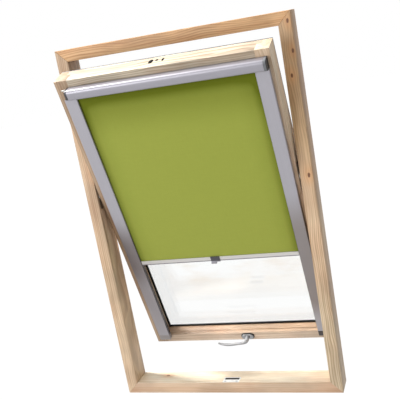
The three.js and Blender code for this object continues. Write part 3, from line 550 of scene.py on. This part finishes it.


# Painted reflection: warm clouds mixed into the glass's colour above a height
glass = {
    "clear": (0.972, 0.976, 0.974, 1),
    "reflectedTint": (0.94, 0.915, 0.88, 1),
    "reflectionClouds": {"stretch": (5, 5, 13), "detail": 3, "roughness": 0.55},
    "reflectionRange": (0.42, 0.72),
    "reflectionHeights": (0.27, 0.36),
    "shadow": (0.74, 0.74, 0.74, 1),
}


def glassMaterial():
    material, tree, shader = newMaterial("floatGlass", IOR=1.45, Transmission_Weight=1.0, Roughness=0.0,
                                         Specular_IOR_Level=0.2)
    place = coordinates(tree)
    # painted reflection: the warm clouds in the glass's colour
    reflectionClouds = rangeOf(tree, stretchedNoise(tree, place, **glass["reflectionClouds"]), *glass["reflectionRange"])
    height = rangeOf(tree, axesOf(tree, place)["Z"], *glass["reflectionHeights"])
    tree.links.new(mixColor(tree, doMath(tree, "MULTIPLY", reflectionClouds, height), glass["clear"], glass["reflectedTint"]),
                   shader.inputs["Base Color"])
    clear = addNode(tree, "ShaderNodeBsdfTransparent", Color=glass["shadow"])
    shadow = addNode(tree, "ShaderNodeLightPath").outputs["Is Shadow Ray"]
    mix = addNode(tree, "ShaderNodeMixShader", _0=shadow, _1=shader.outputs[0], _2=clear.outputs[0])
    tree.links.new(mix.outputs[0], tree.nodes["Material Output"].inputs[0])
    return material


clothLook = {
    "base": srgb(158, 167, 70),
    # the painted shade's tone near the cloth's sides and top
    "deep": srgb(100, 110, 4),
    "thread": 0.0009,
    "halfWidth": 0.283,
    "depthOnSash": -9,
    "topOnSash": 481.5,
    "depth": 0.00012,
}


def clothMaterial():
    material, tree, shader = newMaterial("greenCloth", Roughness=0.88, Sheen_Weight=0.15, Sheen_Roughness=0.5,
                                         Specular_IOR_Level=0.25)
    middle = turnedOnSash((hanging["blindShift"], clothLook["depthOnSash"], 0))
    topLine = turnedOnSash((0, clothLook["depthOnSash"], clothLook["topOnSash"])) - middle
    weave = placeGroup(tree, clothWeave, Vector=turnedPlace(tree, "sashAcross"), Middle=middle,
                       Top=topLine[2], Half_Width=clothLook["halfWidth"], Thread=clothLook["thread"],
                       Base=clothLook["base"], Deep=clothLook["deep"])
    tree.links.new(weave["Color"], shader.inputs["Base Color"])
    addBump(tree, shader, weave["Height"], clothLook["depth"], skinBump)
    return material


# Each member's light and dark tones are partly the wood's own colour and partly painted shade for how the
# light falls on that member; the side and end tints paint more shade on one side or towards one end
woods = {
    "headPine": {"turn": "across", "shift": (0.3, 0.01, 0.02), "light": srgb(232, 190, 142),
                 "dark": srgb(188, 138, 90)},
    "sillPine": {"turn": "across", "shift": (1.7, 0.03, -0.01), "light": srgb(252, 240, 218),
                 "dark": srgb(230, 206, 176), "shade": ("Y", -1, srgb(222, 204, 192)),
                 "knots": [((-0.235, 0.012, 0.037), 0.0042)]},
    "leftJambPine": {"turn": "up", "shift": (2.9, 0.05, 0.03), "light": srgb(228, 202, 170),
                     "dark": srgb(190, 158, 126)},
    "rightJambPine": {"turn": "up", "shift": (4.1, -0.02, 0.01), "light": srgb(233, 213, 182),
                      "dark": srgb(180, 152, 118), "shade": ("Z", -1, srgb(228, 218, 202)),
                      "fade": ((0.55, 0.85), srgb(240, 222, 200)),
                      "knots": [((0.3608, -0.038, 1.153), 0.0045), ((0.3642, -0.038, 1.070), 0.0045),
                                ((0.3514, -0.038, 1.0019), 0.0042), ((0.3591, -0.038, 0.7102), 0.005)]},
    "sashTopPine": {"turn": "sashAcross", "shift": (5.3, 0.02, 0.05), "light": srgb(236, 226, 206),
                    "dark": srgb(176, 156, 130), "shade": ("Y", -1, srgb(221, 218, 214))},
    "sashBottomPine": {"turn": "sashAcross", "shift": (6.1, -0.03, 0.02), "light": srgb(230, 210, 189),
                       "dark": srgb(190, 164, 137), "shade": ("Z", 1, srgb(220, 208, 197))},
    "leftStilePine": {"turn": "sashUp", "shift": (7.7, 0.04, -0.02), "light": srgb(222, 206, 182),
                      "dark": srgb(180, 156, 130), "shade": ("Y", -1, srgb(218, 204, 192))},
    "rightStilePine": {"turn": "sashUp", "shift": (8.9, 0.0, 0.04), "light": srgb(250, 238, 216),
                       "dark": srgb(210, 186, 156), "shade": ("Y", -1, srgb(226, 214, 204))},
    "dowelBeech": {"turn": "across", "shift": (9.4, 0.02, 0.0), "light": srgb(206, 166, 122),
                   "dark": srgb(178, 132, 90)},
}
rails = {
    "leftRail": {"shaded": srgb(136, 130, 132), "bandTop": (50, -80), "bandBottom": (-150, -290)},
    "rightRail": {"shaded": srgb(144, 138, 138), "bandTop": (90, -60), "bandBottom": (-340, -440)},
}
evenGrain = (260, 260, 260)
metals = {
    "cassetteAluminium": {"color": srgb(160, 158, 166), "rough": (0.34, 0.44), "turn": "sashAcross",
                          "metallic": 0.7},
    "spacerAluminium": {"color": srgb(196, 196, 196), "rough": (0.35, 0.5), "turn": "sashAcross"},
    "darkSteel": {"color": srgb(124, 106, 88), "rough": (0.45, 0.6), "stretch": evenGrain, "metallic": 0.6},
    # painted light: the strike plate's zinc is paler than the other zinc steel
    "paleZinc": {"color": srgb(240, 240, 238), "rough": (0.4, 0.55), "stretch": evenGrain, "metallic": 0.3},
    "zincSteel": {"color": srgb(212, 214, 216), "rough": (0.24, 0.4), "stretch": evenGrain},
    "greyCladding": {"color": srgb(92, 94, 98), "rough": (0.42, 0.55), "stretch": (700, 700, 700),
                     "metallic": 0.25},
    "silverHandle": {"color": srgb(168, 168, 170), "rough": (0.34, 0.44), "stretch": (900, 900, 900),
                     "metallic": 0.85},
}
plastics = {
    "sealRubber": {"color": srgb(14, 13, 13), "roughness": 0.72, "grain": 1200, "Specular_IOR_Level": 0.15},
    # painted shade: the left cassette cap darker than the right cap's grey
    "greyPlastic": {"color": srgb(66, 64, 68), "roughness": 0.42, "grain": 1400},
    "paleGreyPlastic": {"color": srgb(158, 154, 156), "roughness": 0.42, "grain": 1400},
    # painted shade: the right rail end cap darker than the left one
    "darkGreyPlastic": {"color": srgb(58, 52, 50), "roughness": 0.42, "grain": 1400},
    "blackPlastic": {"color": srgb(30, 30, 32), "roughness": 0.35, "grain": 1400},
    "whiteNylon": {"color": srgb(222, 221, 217), "roughness": 0.45, "grain": 1100},
}
# Pieces with a second tone: it starts within the bounds along the axis, in metres. The bar is darker along
# its lower edge and the pull tab paler below; the cassette's right cap is black at its outer end, painted
# shade.
barDepth = -13
splits = {
    "barAluminium": {"skinGroup": metalSkin, "depth": metalLook["depth"], "turn": "sashAcross", "axis": "Z",
                     "bounds": (heightOnSash(barDepth, -157), heightOnSash(barDepth, -158)),
                     "other": srgb(118, 114, 122), "metallic": 0.7, "Base": srgb(210, 208, 206),
                     "Rough_Low": 0.36, "Rough_High": 0.46},
    # painted shade: the cap's outer end black, on the side turned from the light
    "capPlastic": {"skinGroup": mouldedSkin, "depth": mouldedLook["depth"], "turn": "across", "axis": "X",
                   "bounds": (0.3155, 0.3163), "other": srgb(16, 15, 15), "Grain": 1400.0, "Roughness": 0.42,
                   "Base": srgb(120, 122, 126)},
    "pullPlastic": {"skinGroup": mouldedSkin, "depth": mouldedLook["depth"], "turn": "sashAcross",
                    "axis": "Z", "bounds": (heightOnSash(barDepth, -158), heightOnSash(barDepth, -159)),
                    "other": srgb(158, 155, 164), "Grain": 1400.0, "Roughness": 0.42,
                    "Base": srgb(84, 83, 88)},
}

paint = {"floatGlass": glassMaterial(), "greenCloth": clothMaterial()}
for makeFinish, finishes in ((pineMaterial, woods), (railMaterial, rails), (metalMaterial, metals),
                             (mouldedMaterial, plastics), (splitMaterial, splits)):
    for finishName, values in finishes.items():
        paint[finishName] = makeFinish(finishName, **values)
print("materials made:", len(paint))

wears = {
    "headPine": ["frame_head"],
    "sillPine": ["frame_sill"],
    "leftJambPine": ["frame_left_jamb"],
    "rightJambPine": ["frame_right_jamb"],
    "sashTopPine": ["sash_top_rail"],
    "sashBottomPine": ["sash_bottom_rail"],
    "leftStilePine": ["sash_left_stile"],
    "rightStilePine": ["sash_right_stile"],
    "dowelBeech": ["lower_left_dowel", "lower_right_dowel", "upper_left_dowel", "upper_right_dowel"],
    "leftRail": ["left_guide_rail"],
    "rightRail": ["right_guide_rail"],
    "cassetteAluminium": ["blind_cassette", "roller_tube"],
    "barAluminium": ["bottom_bar"],
    "spacerAluminium": ["glazing_spacer"],
    "paleZinc": ["strike_plate"],
    "zincSteel": ["lock_case", "cassette_left_clip", "cassette_right_clip", "spring_rod", "roller_right_pin",
                  "handle_spindle", "lock_hook", "balance_spring"],
    "darkSteel": ["frame_left_pivot_plate", "frame_right_pivot_plate", "left_pivot_pin", "right_pivot_pin",
                  "sash_left_pivot_plate", "sash_right_pivot_plate"],
    "greyCladding": ["cladding_top", "cladding_bottom", "cladding_left", "cladding_right"],
    "silverHandle": ["handle_rose", "handle_lever"],
    "floatGlass": ["inner_glass_pane", "outer_glass_pane"],
    "sealRubber": ["head_seal", "inner_glazing_gasket", "outer_glazing_gasket", "sash_bottom_seal"],
    "greyPlastic": ["cassette_left_cap"],
    "pullPlastic": ["pull_tab"],
    "paleGreyPlastic": ["left_rail_end_cap"],
    "darkGreyPlastic": ["right_rail_end_cap"],
    "blackPlastic": ["handle_rose_base"],
    "capPlastic": ["cassette_right_cap"],
    "whiteNylon": ["left_pivot_bush", "right_pivot_bush", "tension_pin", "roller_left_plug",
                   "roller_right_plug", "left_bar_glide", "right_bar_glide"],
    "greenCloth": ["fabric_sheet", "fabric_roll"],
}
for finishName, worn in wears.items():
    for nodeName in worn:
        for slot in nodes[nodeName].material_slots:
            slot.material = paint[finishName]

# Edges: the solids' corners welded, worked edges eased, round faces shaded smooth. The weld is in metres,
# and angles are in degrees.
edgeWork = {
    "weld": 0.000004,
    "smoothBelow": 32,
    "flatBelow": 0.5,
    "easeAbove": 40,
    "segments": 2,
}


def edgeTree(name, build):
    tree = bpy.data.node_groups.new(name, "GeometryNodeTree")
    tree.interface.new_socket("Geometry", in_out="INPUT", socket_type="NodeSocketGeometry")
    tree.interface.new_socket("Geometry", in_out="OUTPUT", socket_type="NodeSocketGeometry")
    start = tree.nodes.new("NodeGroupInput").outputs[0]
    tree.links.new(build(tree, start), tree.nodes.new("NodeGroupOutput").inputs[0])
    return tree


def weldCorners(tree, shape):
    plainShape = addNode(tree, "GeometryNodeRemoveAttribute", Geometry=shape, Name="custom_normal")
    return addNode(tree, "GeometryNodeMergeByDistance", Geometry=plainShape.outputs[0],
                   Distance=edgeWork["weld"]).outputs[0]


def smoothRounds(tree, shape):
    allSmooth = addNode(tree, "GeometryNodeSetShadeSmooth", {"domain": "FACE"}, Geometry=shape)
    allSmooth.inputs["Shade Smooth"].default_value = True
    angle = addNode(tree, "GeometryNodeInputMeshEdgeAngle").outputs["Unsigned Angle"]
    sharp = addNode(tree, "FunctionNodeCompare", {"data_type": "FLOAT", "operation": "GREATER_THAN"},
                    _0=angle, _1=math.radians(edgeWork["smoothBelow"]))
    keepSharp = addNode(tree, "GeometryNodeSetShadeSmooth", {"domain": "EDGE"}, Geometry=allSmooth.outputs[0],
                        Selection=sharp.outputs[0])
    keepSharp.inputs["Shade Smooth"].default_value = False
    return keepSharp.outputs[0]


weldTree = edgeTree("weldCorners", weldCorners)
roundTree = edgeTree("smoothRounds", smoothRounds)


def easeEdges(thing, width):
    if "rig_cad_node" in thing:
        thing.modifiers.new("weld", "NODES").node_group = weldTree
    if width:
        flat = thing.modifiers.new("flatten", "DECIMATE")
        flat.decimate_type = "DISSOLVE"
        flat.angle_limit = math.radians(edgeWork["flatBelow"])
        bevel = thing.modifiers.new("ease", "BEVEL")
        bevel.width = width
        bevel.segments = edgeWork["segments"]
        bevel.limit_method = "ANGLE"
        bevel.angle_limit = math.radians(edgeWork["easeAbove"])
        bevel.use_clamp_overlap = True
    thing.modifiers.new("rounds", "NODES").node_group = roundTree


# How wide the edges are eased, in metres. What isn't named here keeps its edges.
easing = {
    0.0012: ["headPine", "sillPine", "leftJambPine", "rightJambPine"],
    0.001: ["sashTopPine", "sashBottomPine", "leftStilePine", "rightStilePine"],
    0.0006: ["silverHandle"],
    0.0004: ["greyPlastic", "paleGreyPlastic", "darkGreyPlastic", "blackPlastic", "pullPlastic",
             "capPlastic"],
    0.0003: ["greyCladding"],
}
easedWidth = {finishName: width for width, eased in easing.items() for finishName in eased}
for finishName, worn in wears.items():
    for nodeName in worn:
        easeEdges(nodes[nodeName], easedWidth.get(finishName, 0))
print("edges eased")


def newPiece(name, build, finishName, body, slotName):
    mesh = bpy.data.meshes.new(name)
    shape = bmesh.new()
    build(shape)
    bmesh.ops.recalc_face_normals(shape, faces=shape.faces)
    shape.to_mesh(mesh)
    shape.free()
    mesh.materials.append(paint[finishName])
    thing = bpy.data.objects.new(name, mesh)
    scene.collection.objects.link(thing)
    if body:
        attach(thing, body)
    return thing


def sashVert(shape, place):
    return shape.verts.new(sashSpace @ (Vector(place) * mm))


def joinRings(shape, rings):
    for near, far in zip(rings, rings[1:]):
        for i in range(len(near)):
            j = (i + 1) % len(near)
            shape.faces.new((near[i], near[j], far[j], far[i]))


# A ring that goes out along one face of a sheet and back along the other is closed strip by strip
def closeSheet(shape, ring):
    half = len(ring) // 2
    for i in range(half - 1):
        shape.faces.new((ring[i], ring[i + 1], ring[2 * half - 2 - i], ring[2 * half - 1 - i]))


# The blind's cloth, in millimetres on the sash. Waves are a turn and a start across and down the cloth.
cloth = {
    "left": -277,
    "right": 289,
    "top": 498,
    "bottom": -149.5,
    "depth": -9,
    "thickness": 0.35,
    "columns": 36,
    "rows": 100,
    "waveAcross": (9.2, 1.1),
    "waveDown": (4.6, 0.4),
    "ripple": 0.05,
    "bow": 10,
}


def evenShare(share):
    return 0.5 - math.sin(math.asin(1 - 2 * share) / 3)  # where a smooth step has got this far


def buildCloth(shape):
    (turnX, startX), (turnZ, startZ) = cloth["waveAcross"], cloth["waveDown"]
    columns = range(cloth["columns"] + 1)
    around = []
    for row in range(cloth["rows"] + 1):
        v = row / cloth["rows"]
        z = cloth["top"] + v * (cloth["bottom"] - cloth["top"])
        bowed = cloth["depth"] + cloth["bow"] * (evenShare(v) - v)
        rowWave = math.sin(v * turnZ + startZ) * math.sin(math.pi * v) * cloth["ripple"]
        line = []
        for face, order in ((-1, columns), (1, reversed(columns))):
            for column in order:
                u = column / cloth["columns"]
                x = cloth["left"] + u * (cloth["right"] - cloth["left"])
                y = bowed + math.sin(u * turnX + startX) * rowWave + face * cloth["thickness"] / 2
                line.append(sashVert(shape, (x, y, z)))
        around.append(line)
    joinRings(shape, around)
    for line in (around[0], around[-1]):
        closeSheet(shape, line)


clothSheet = newPiece("clothSheet", buildCloth, "greenCloth", None, "blind_fabric")
for face in clothSheet.data.polygons:
    face.use_smooth = True
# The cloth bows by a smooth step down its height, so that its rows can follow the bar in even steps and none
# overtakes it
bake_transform(clothSheet)
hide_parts("fabric_sheet")

# The cloth wound on the roller, as a spiral
roll = {
    "axis": (-20.8, 498),
    "inner": 9.85,
    "pitch": 0.62,
    "thickness": 0.5,
    "turns": 1.95,
    "steps": 96,
}


def buildRoll(shape):
    steps = range(roll["steps"] + 1)
    middleY, middleZ = roll["axis"]
    rings = []
    for x in (cloth["left"], cloth["right"]):
        ring = []
        for face, order in ((0, steps), (1, reversed(steps))):
            for step in order:
                turn = step / roll["steps"] * roll["turns"]
                radius = roll["inner"] + turn * roll["pitch"] + face * roll["thickness"]
                angle = (turn - roll["turns"]) * fullTurn
                ring.append(sashVert(shape, (x, middleY + radius * math.cos(angle),
                                             middleZ - radius * math.sin(angle))))
        rings.append(ring)
    joinRings(shape, rings)
    for ring in rings:
        closeSheet(shape, ring)


clothRoll = newPiece("clothRoll", buildRoll, "greenCloth", "roller", "blind_fabric")
easeEdges(clothRoll, 0)
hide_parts("fabric_roll")
print("cloth made")

# The lever's middle line from the handle's axis: along to the left, out into the room, dip down the sash.
# Neck, blade and tip are half heights and half thicknesses, and the spans are shares of the line.
lever = {
    "axis": (22, -516),
    "line": [(0, 3, 0), (0, 12.96, 0), (0.52, 23.76, 0), (4.68, 31.68, 0.31), (14.56, 34.92, 0.93),
             (32.24, 36, 2.232), (52, 36, 5.456), (70.72, 36, 6.2), (88.4, 35.64, 3.782),
             (104, 34.92, -1.798)],
    "neck": (7.2, 7.2),
    "blade": (5.5, 4.7),
    "tip": (3.8, 3.1),
    "bladeSpan": (0.2, 0.5),
    "tipSpan": (0.75, 1),
    "roundFrom": 0.96,
    "roundReach": 0.042,
    "roundLeast": 0.03,
    "probe": 0.002,
    "steps": 84,
    "sides": 28,
}


def smoothStep(value, low, high):
    t = min(max((value - low) / (high - low), 0), 1)
    return t * t * (3 - 2 * t)


# A place on a smooth line through the points, at a share of its length in spans
def lineAt(points, share):
    place = min(share * (len(points) - 1), len(points) - 1 - 1e-6)
    i = int(place)
    p1, p2 = points[i], points[i + 1]
    p0 = points[i - 1] if i else 2 * p1 - p2
    p3 = points[i + 2] if i + 2 < len(points) else 2 * p2 - p1
    d0, d1, d2 = ((b - a).length ** 0.5 for a, b in ((p0, p1), (p1, p2), (p2, p3)))
    m1 = ((p1 - p0) / d0 - (p2 - p0) / (d0 + d1) + (p2 - p1) / d1) * d1
    m2 = ((p2 - p1) / d1 - (p3 - p1) / (d1 + d2) + (p3 - p2) / d2) * d1
    t = place - i
    return (p1 * (2 * t ** 3 - 3 * t ** 2 + 1) + m1 * (t ** 3 - 2 * t ** 2 + t)
            + p2 * (3 * t ** 2 - 2 * t ** 3) + m2 * (t ** 3 - t ** 2))


def buildLever(shape):
    x0, z0 = lever["axis"]
    points = [Vector((x0 - along, -out, z0 - dip)) for along, out, dip in lever["line"]]
    angles = [fullTurn * side / lever["sides"] for side in range(lever["sides"])]
    rings = []
    for step in range(lever["steps"] + 1):
        share = step / lever["steps"]
        middle = lineAt(points, share)
        before, after = max(share - lever["probe"], 0), min(share + lever["probe"], 1)
        run = (lineAt(points, after) - lineAt(points, before)).normalized()
        up = (Vector((0, 0, 1)) - run * run.z).normalized()
        across = run.cross(up)
        blade, tip = smoothStep(share, *lever["bladeSpan"]), smoothStep(share, *lever["tipSpan"])
        past = max(share - lever["roundFrom"], 0) / lever["roundReach"]
        end = math.sqrt(max(1 - past ** 2, lever["roundLeast"]))
        tall, thick = ((n + (b - n) * blade + (t - b) * tip * blade) * end
                       for n, b, t in zip(lever["neck"], lever["blade"], lever["tip"]))
        rings.append([sashVert(shape, middle + up * tall * math.cos(a) + across * thick * math.sin(a))
                      for a in angles])
    joinRings(shape, rings)
    for ring in (rings[0], rings[-1]):
        shape.faces.new(ring)


leverPiece = newPiece("leverPiece", buildLever, "silverHandle", "handle", "handle_silver")
easeEdges(leverPiece, 0)
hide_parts("handle_lever")

# Countersunk screws with a cross recess: shank radius, head radius, head height, length
screwKinds = {
    "plate": (2, 4, 2, 16),
    "cladding": (2, 3.6, 1.6, 20),
    "blind": (1.7, 3.2, 1.5, 14),
}
screwShape = {"sunk": 0.12, "rim": 0.25, "point": 2, "pointRadius": 0.25, "sides": 24}
crossCut = {"long": 0.62, "wide": 0.17, "deep": 0.62, "taper": 0.8}


def addScrew(shape, kind, toPlace):
    shank, head, sink, length = screwKinds[kind]
    top = -screwShape["sunk"]
    angles = [fullTurn * i / screwShape["sides"] for i in range(screwShape["sides"])]
    profile = [(head, top), (head, -screwShape["rim"]), (shank, -sink), (shank, screwShape["point"] - length),
               (shank * screwShape["pointRadius"], -length)]
    rings = [[shape.verts.new(toPlace @ Vector((radius * math.cos(a), height, radius * math.sin(a))))
              for a in angles] for radius, height in profile]
    joinRings(shape, rings)
    shape.faces.new(rings[-1])
    far, near = head * crossCut["long"], head * crossCut["wide"]
    arm = [(far, near), (near, near), (near, far)]
    outline = [(a * math.cos(turn) - b * math.sin(turn), a * math.sin(turn) + b * math.cos(turn))
               for turn in (k * quarterTurn for k in range(4)) for a, b in arm]
    rim, floor = ([shape.verts.new(toPlace @ Vector((x * taper, height, z * taper))) for x, z in outline]
                  for taper, height in ((1, top), (crossCut["taper"], top - sink * crossCut["deep"])))
    joinRings(shape, [rim, floor])
    shape.faces.new(floor)
    pairs = [(ring[i], ring[(i + 1) % len(ring)]) for ring in (rings[0], rim) for i in range(len(ring))]
    edges = [shape.edges.get(pair) or shape.edges.new(pair) for pair in pairs]
    bmesh.ops.triangle_fill(shape, use_beauty=True, use_dissolve=False, edges=edges)


facings = {
    "-Y": Matrix.Rotation(math.pi, 4, "X"),
    "+Y": Matrix.Identity(4),
    "+Z": Matrix.Rotation(quarterTurn, 4, "X"),
    "+X": Matrix.Rotation(-quarterTurn, 4, "Z"),
    "-X": Matrix.Rotation(quarterTurn, 4, "Z"),
}
# Body, kind, finish, slot, and each screw's facing and place, in the frame's or the sash's millimetres
pivotY, pivotZ = hanging["pivot"][1:]
stilePivotY, stilePivotZ = hanging["pivotOnSash"][1:]
screws = {
    "strikeScrews": ("frame", "plate", "zincSteel", "zinc_steel", [
        ("+Z", (x, -28, 37)) for x in (-16.5, 22.5)]),
    "jambPlateScrews": ("frame", "plate", "darkSteel", "zinc_steel", [
        (facing, (x, pivotY, pivotZ + up)) for facing, x in (("+X", -330.7), ("-X", 330.7))
        for up in (-30, 30)]),
    "stilePlateScrews": ("sash", "plate", "darkSteel", "zinc_steel", [
        (facing, (x, stilePivotY, stilePivotZ + up)) for facing, x in (("-X", -328.3), ("+X", 328.3))
        for up in (-30, 30)]),
    "roseScrews": ("sash", "plate", "silverHandle", "handle_silver", [
        ("-Y", (x, -7.6, -516)) for x in (6, 38)]),
    "coverScrews": ("sash", "cladding", "zincSteel", "zinc_steel", [
        ("+Y", (x, 71.3, z)) for xs, zs in (((-313.42, 313.42), (-354, 354)), ((-146, 146), (-526.52, 517)))
        for x in xs for z in zs]),
    "railScrews": ("sash", "blind", "zincSteel", "zinc_steel", [
        ("-Y", (x, -1.8, z)) for x in (-295, 307) for z in (-447, -4, 439)]),
    "clipScrews": ("sash", "blind", "zincSteel", "zinc_steel", [
        ("-Y", (x, -1.9, 499.5)) for x in (-206, -186, 213, 233)]),
}
for name, (body, kind, finishName, slotName, places) in screws.items():
    def buildScrews(shape):
        onto = Matrix.Identity(4) if body == "frame" else sashSpace
        for facing, place in places:
            addScrew(shape, kind, onto @ Matrix.Translation(Vector(place) * mm) @ scaleDown @ facings[facing])

    easeEdges(newPiece(name, buildScrews, finishName, body, slotName), 0)

# Black cup in the sill's pocket, in the frame's millimetres: painted shade, a dark lining where the pocket's
# walls lie in shade
cup = {"low": (-21.7, -17.2, 21.3), "high": (27.7, -4.8, 34.7), "wall": 0.8}


def buildCup(shape):
    low, high, wall = Vector(cup["low"]), Vector(cup["high"]), cup["wall"]

    def ringAt(inset, height):
        return [shape.verts.new(Vector((x, y, height)) * mm) for x, y in (
            (low.x + inset, low.y + inset), (high.x - inset, low.y + inset), (high.x - inset, high.y - inset),
            (low.x + inset, high.y - inset))]

    rings = [ringAt(0, low.z), ringAt(0, high.z), ringAt(wall, high.z), ringAt(wall, low.z + wall)]
    joinRings(shape, rings)
    shape.faces.new(rings[0])
    shape.faces.new(rings[-1])


newPiece("pocketShadeCup", buildCup, "sealRubber", "frame", "black_plastic")

# Dark sleeves in the holes in the sash's top edge: x, y, half width and half depth of each hole.
# The profile is how far past the hole's edge and how high, up to the thin collar on the wood.
sleeves = {
    "holes": [(-26, 38, 5, 11), (-8, 42, 3, 4), (11, 40, 1.8, 7)],
    "profile": [(-0.3, 521), (-0.3, 534), (1.3, 534), (1.3, 534.5), (0.9, 534.7)],
    "cornerSteps": 5,
}


def buildSleeves(shape):
    steps = sleeves["cornerSteps"]
    for x, y, across, through in sleeves["holes"]:
        rings = []
        for past, z in sleeves["profile"]:
            radius = min(across, through) + past
            ring = []
            for quarter, (sx, sy) in enumerate(((1, 1), (-1, 1), (-1, -1), (1, -1))):
                cornerX = x + sx * (across + past - radius)
                cornerY = y + sy * (through + past - radius)
                for a in ((quarter + i / steps) * quarterTurn for i in range(steps + 1)):
                    ring.append(sashVert(shape, (cornerX + radius * math.cos(a),
                                                 cornerY + radius * math.sin(a), z)))
            rings.append(ring)
        joinRings(shape, rings)
        for ring in (rings[0], rings[-1]):
            shape.faces.new(ring)


easeEdges(newPiece("topSleeves", buildSleeves, "sealRubber", "sash", "black_plastic"), 0)
print("pieces made")

# The sky is bright towards one side and dim on the other, and white wherever it is seen directly
studio = {
    "floorHeight": -0.8,
    "floorSize": 30,
    "floorShade": 0.28,
    "floorGlow": 1.09,
    "glowShare": 0.88,
    "bright": 1.0,
    "dim": 0.1,
    "towards": (-0.76, -0.34, 0.55),
    "spread": 0.9,
}
sun = {"strength": 5.2, "travel": (0.6, -0.12, -0.76), "angle": 10, "color": (1.0, 0.98, 0.95)}
fill = {"place": (-1.8, -3.0, 1.3), "aim": (0, 0, 0.6), "size": 2.2, "power": 47}


def seenDirectly(tree):
    path = addNode(tree, "ShaderNodeLightPath").outputs
    seen = doMath(tree, "MAXIMUM", path["Is Camera Ray"], path["Is Glossy Ray"])
    return doMath(tree, "MAXIMUM", seen, path["Is Transmission Ray"])


def addFloor():
    mesh = bpy.data.meshes.new("paleFloor")
    half, level, shade = studio["floorSize"] / 2, studio["floorHeight"], studio["floorShade"]
    corners = [(-half, -half, level), (half, -half, level), (half, half, level), (-half, half, level)]
    mesh.from_pydata(corners, [], [(0, 1, 2, 3)])
    floor = bpy.data.objects.new("paleFloor", mesh)
    scene.collection.objects.link(floor)
    material, tree, shader = newMaterial("palePaper", Base_Color=(shade, shade, shade, 1), Roughness=0.9,
                                         Specular_IOR_Level=0.1)
    glow = addNode(tree, "ShaderNodeEmission", Color=(1, 1, 1, 1), Strength=studio["floorGlow"])
    part = doMath(tree, "MULTIPLY", seenDirectly(tree), studio["glowShare"])
    mix = addNode(tree, "ShaderNodeMixShader", _0=part, _1=shader.outputs[0], _2=glow.outputs[0])
    tree.links.new(mix.outputs[0], tree.nodes["Material Output"].inputs[0])
    mesh.materials.append(material)


def addWorld():
    world = bpy.data.worlds.new("studioWorld")
    scene.world = world
    world.use_nodes = True
    tree = world.node_tree
    background = tree.nodes["Background"]
    facing = doVector(tree, "DOT_PRODUCT", coordinates(tree, "Generated"),
                      Vector(studio["towards"]).normalized())
    level = rangeOf(tree, facing, -studio["spread"], studio["spread"], studio["dim"], studio["bright"])
    level = doMath(tree, "MAXIMUM", level, seenDirectly(tree))
    tree.links.new(greyOf(tree, level), background.inputs["Color"])
    background.inputs["Strength"].default_value = 1.0


def addLamp(data, travel):
    lamp = bpy.data.objects.new(data.name, data)
    lamp.rotation_mode = "QUATERNION"
    lamp.rotation_quaternion = travel.to_track_quat("-Z", "Y")
    scene.collection.objects.link(lamp)
    return lamp


def addLamps():
    sunlight = bpy.data.lights.new("skySun", "SUN")
    sunlight.energy, sunlight.angle = sun["strength"], math.radians(sun["angle"])
    sunlight.color = sun["color"]
    addLamp(sunlight, Vector(sun["travel"]))
    soft = bpy.data.lights.new("roomFill", "AREA")
    soft.energy, soft.size = fill["power"], fill["size"]
    place = Vector(fill["place"])
    addLamp(soft, Vector(fill["aim"]) - place).location = place


addFloor()
addWorld()
addLamps()
print("studio set")
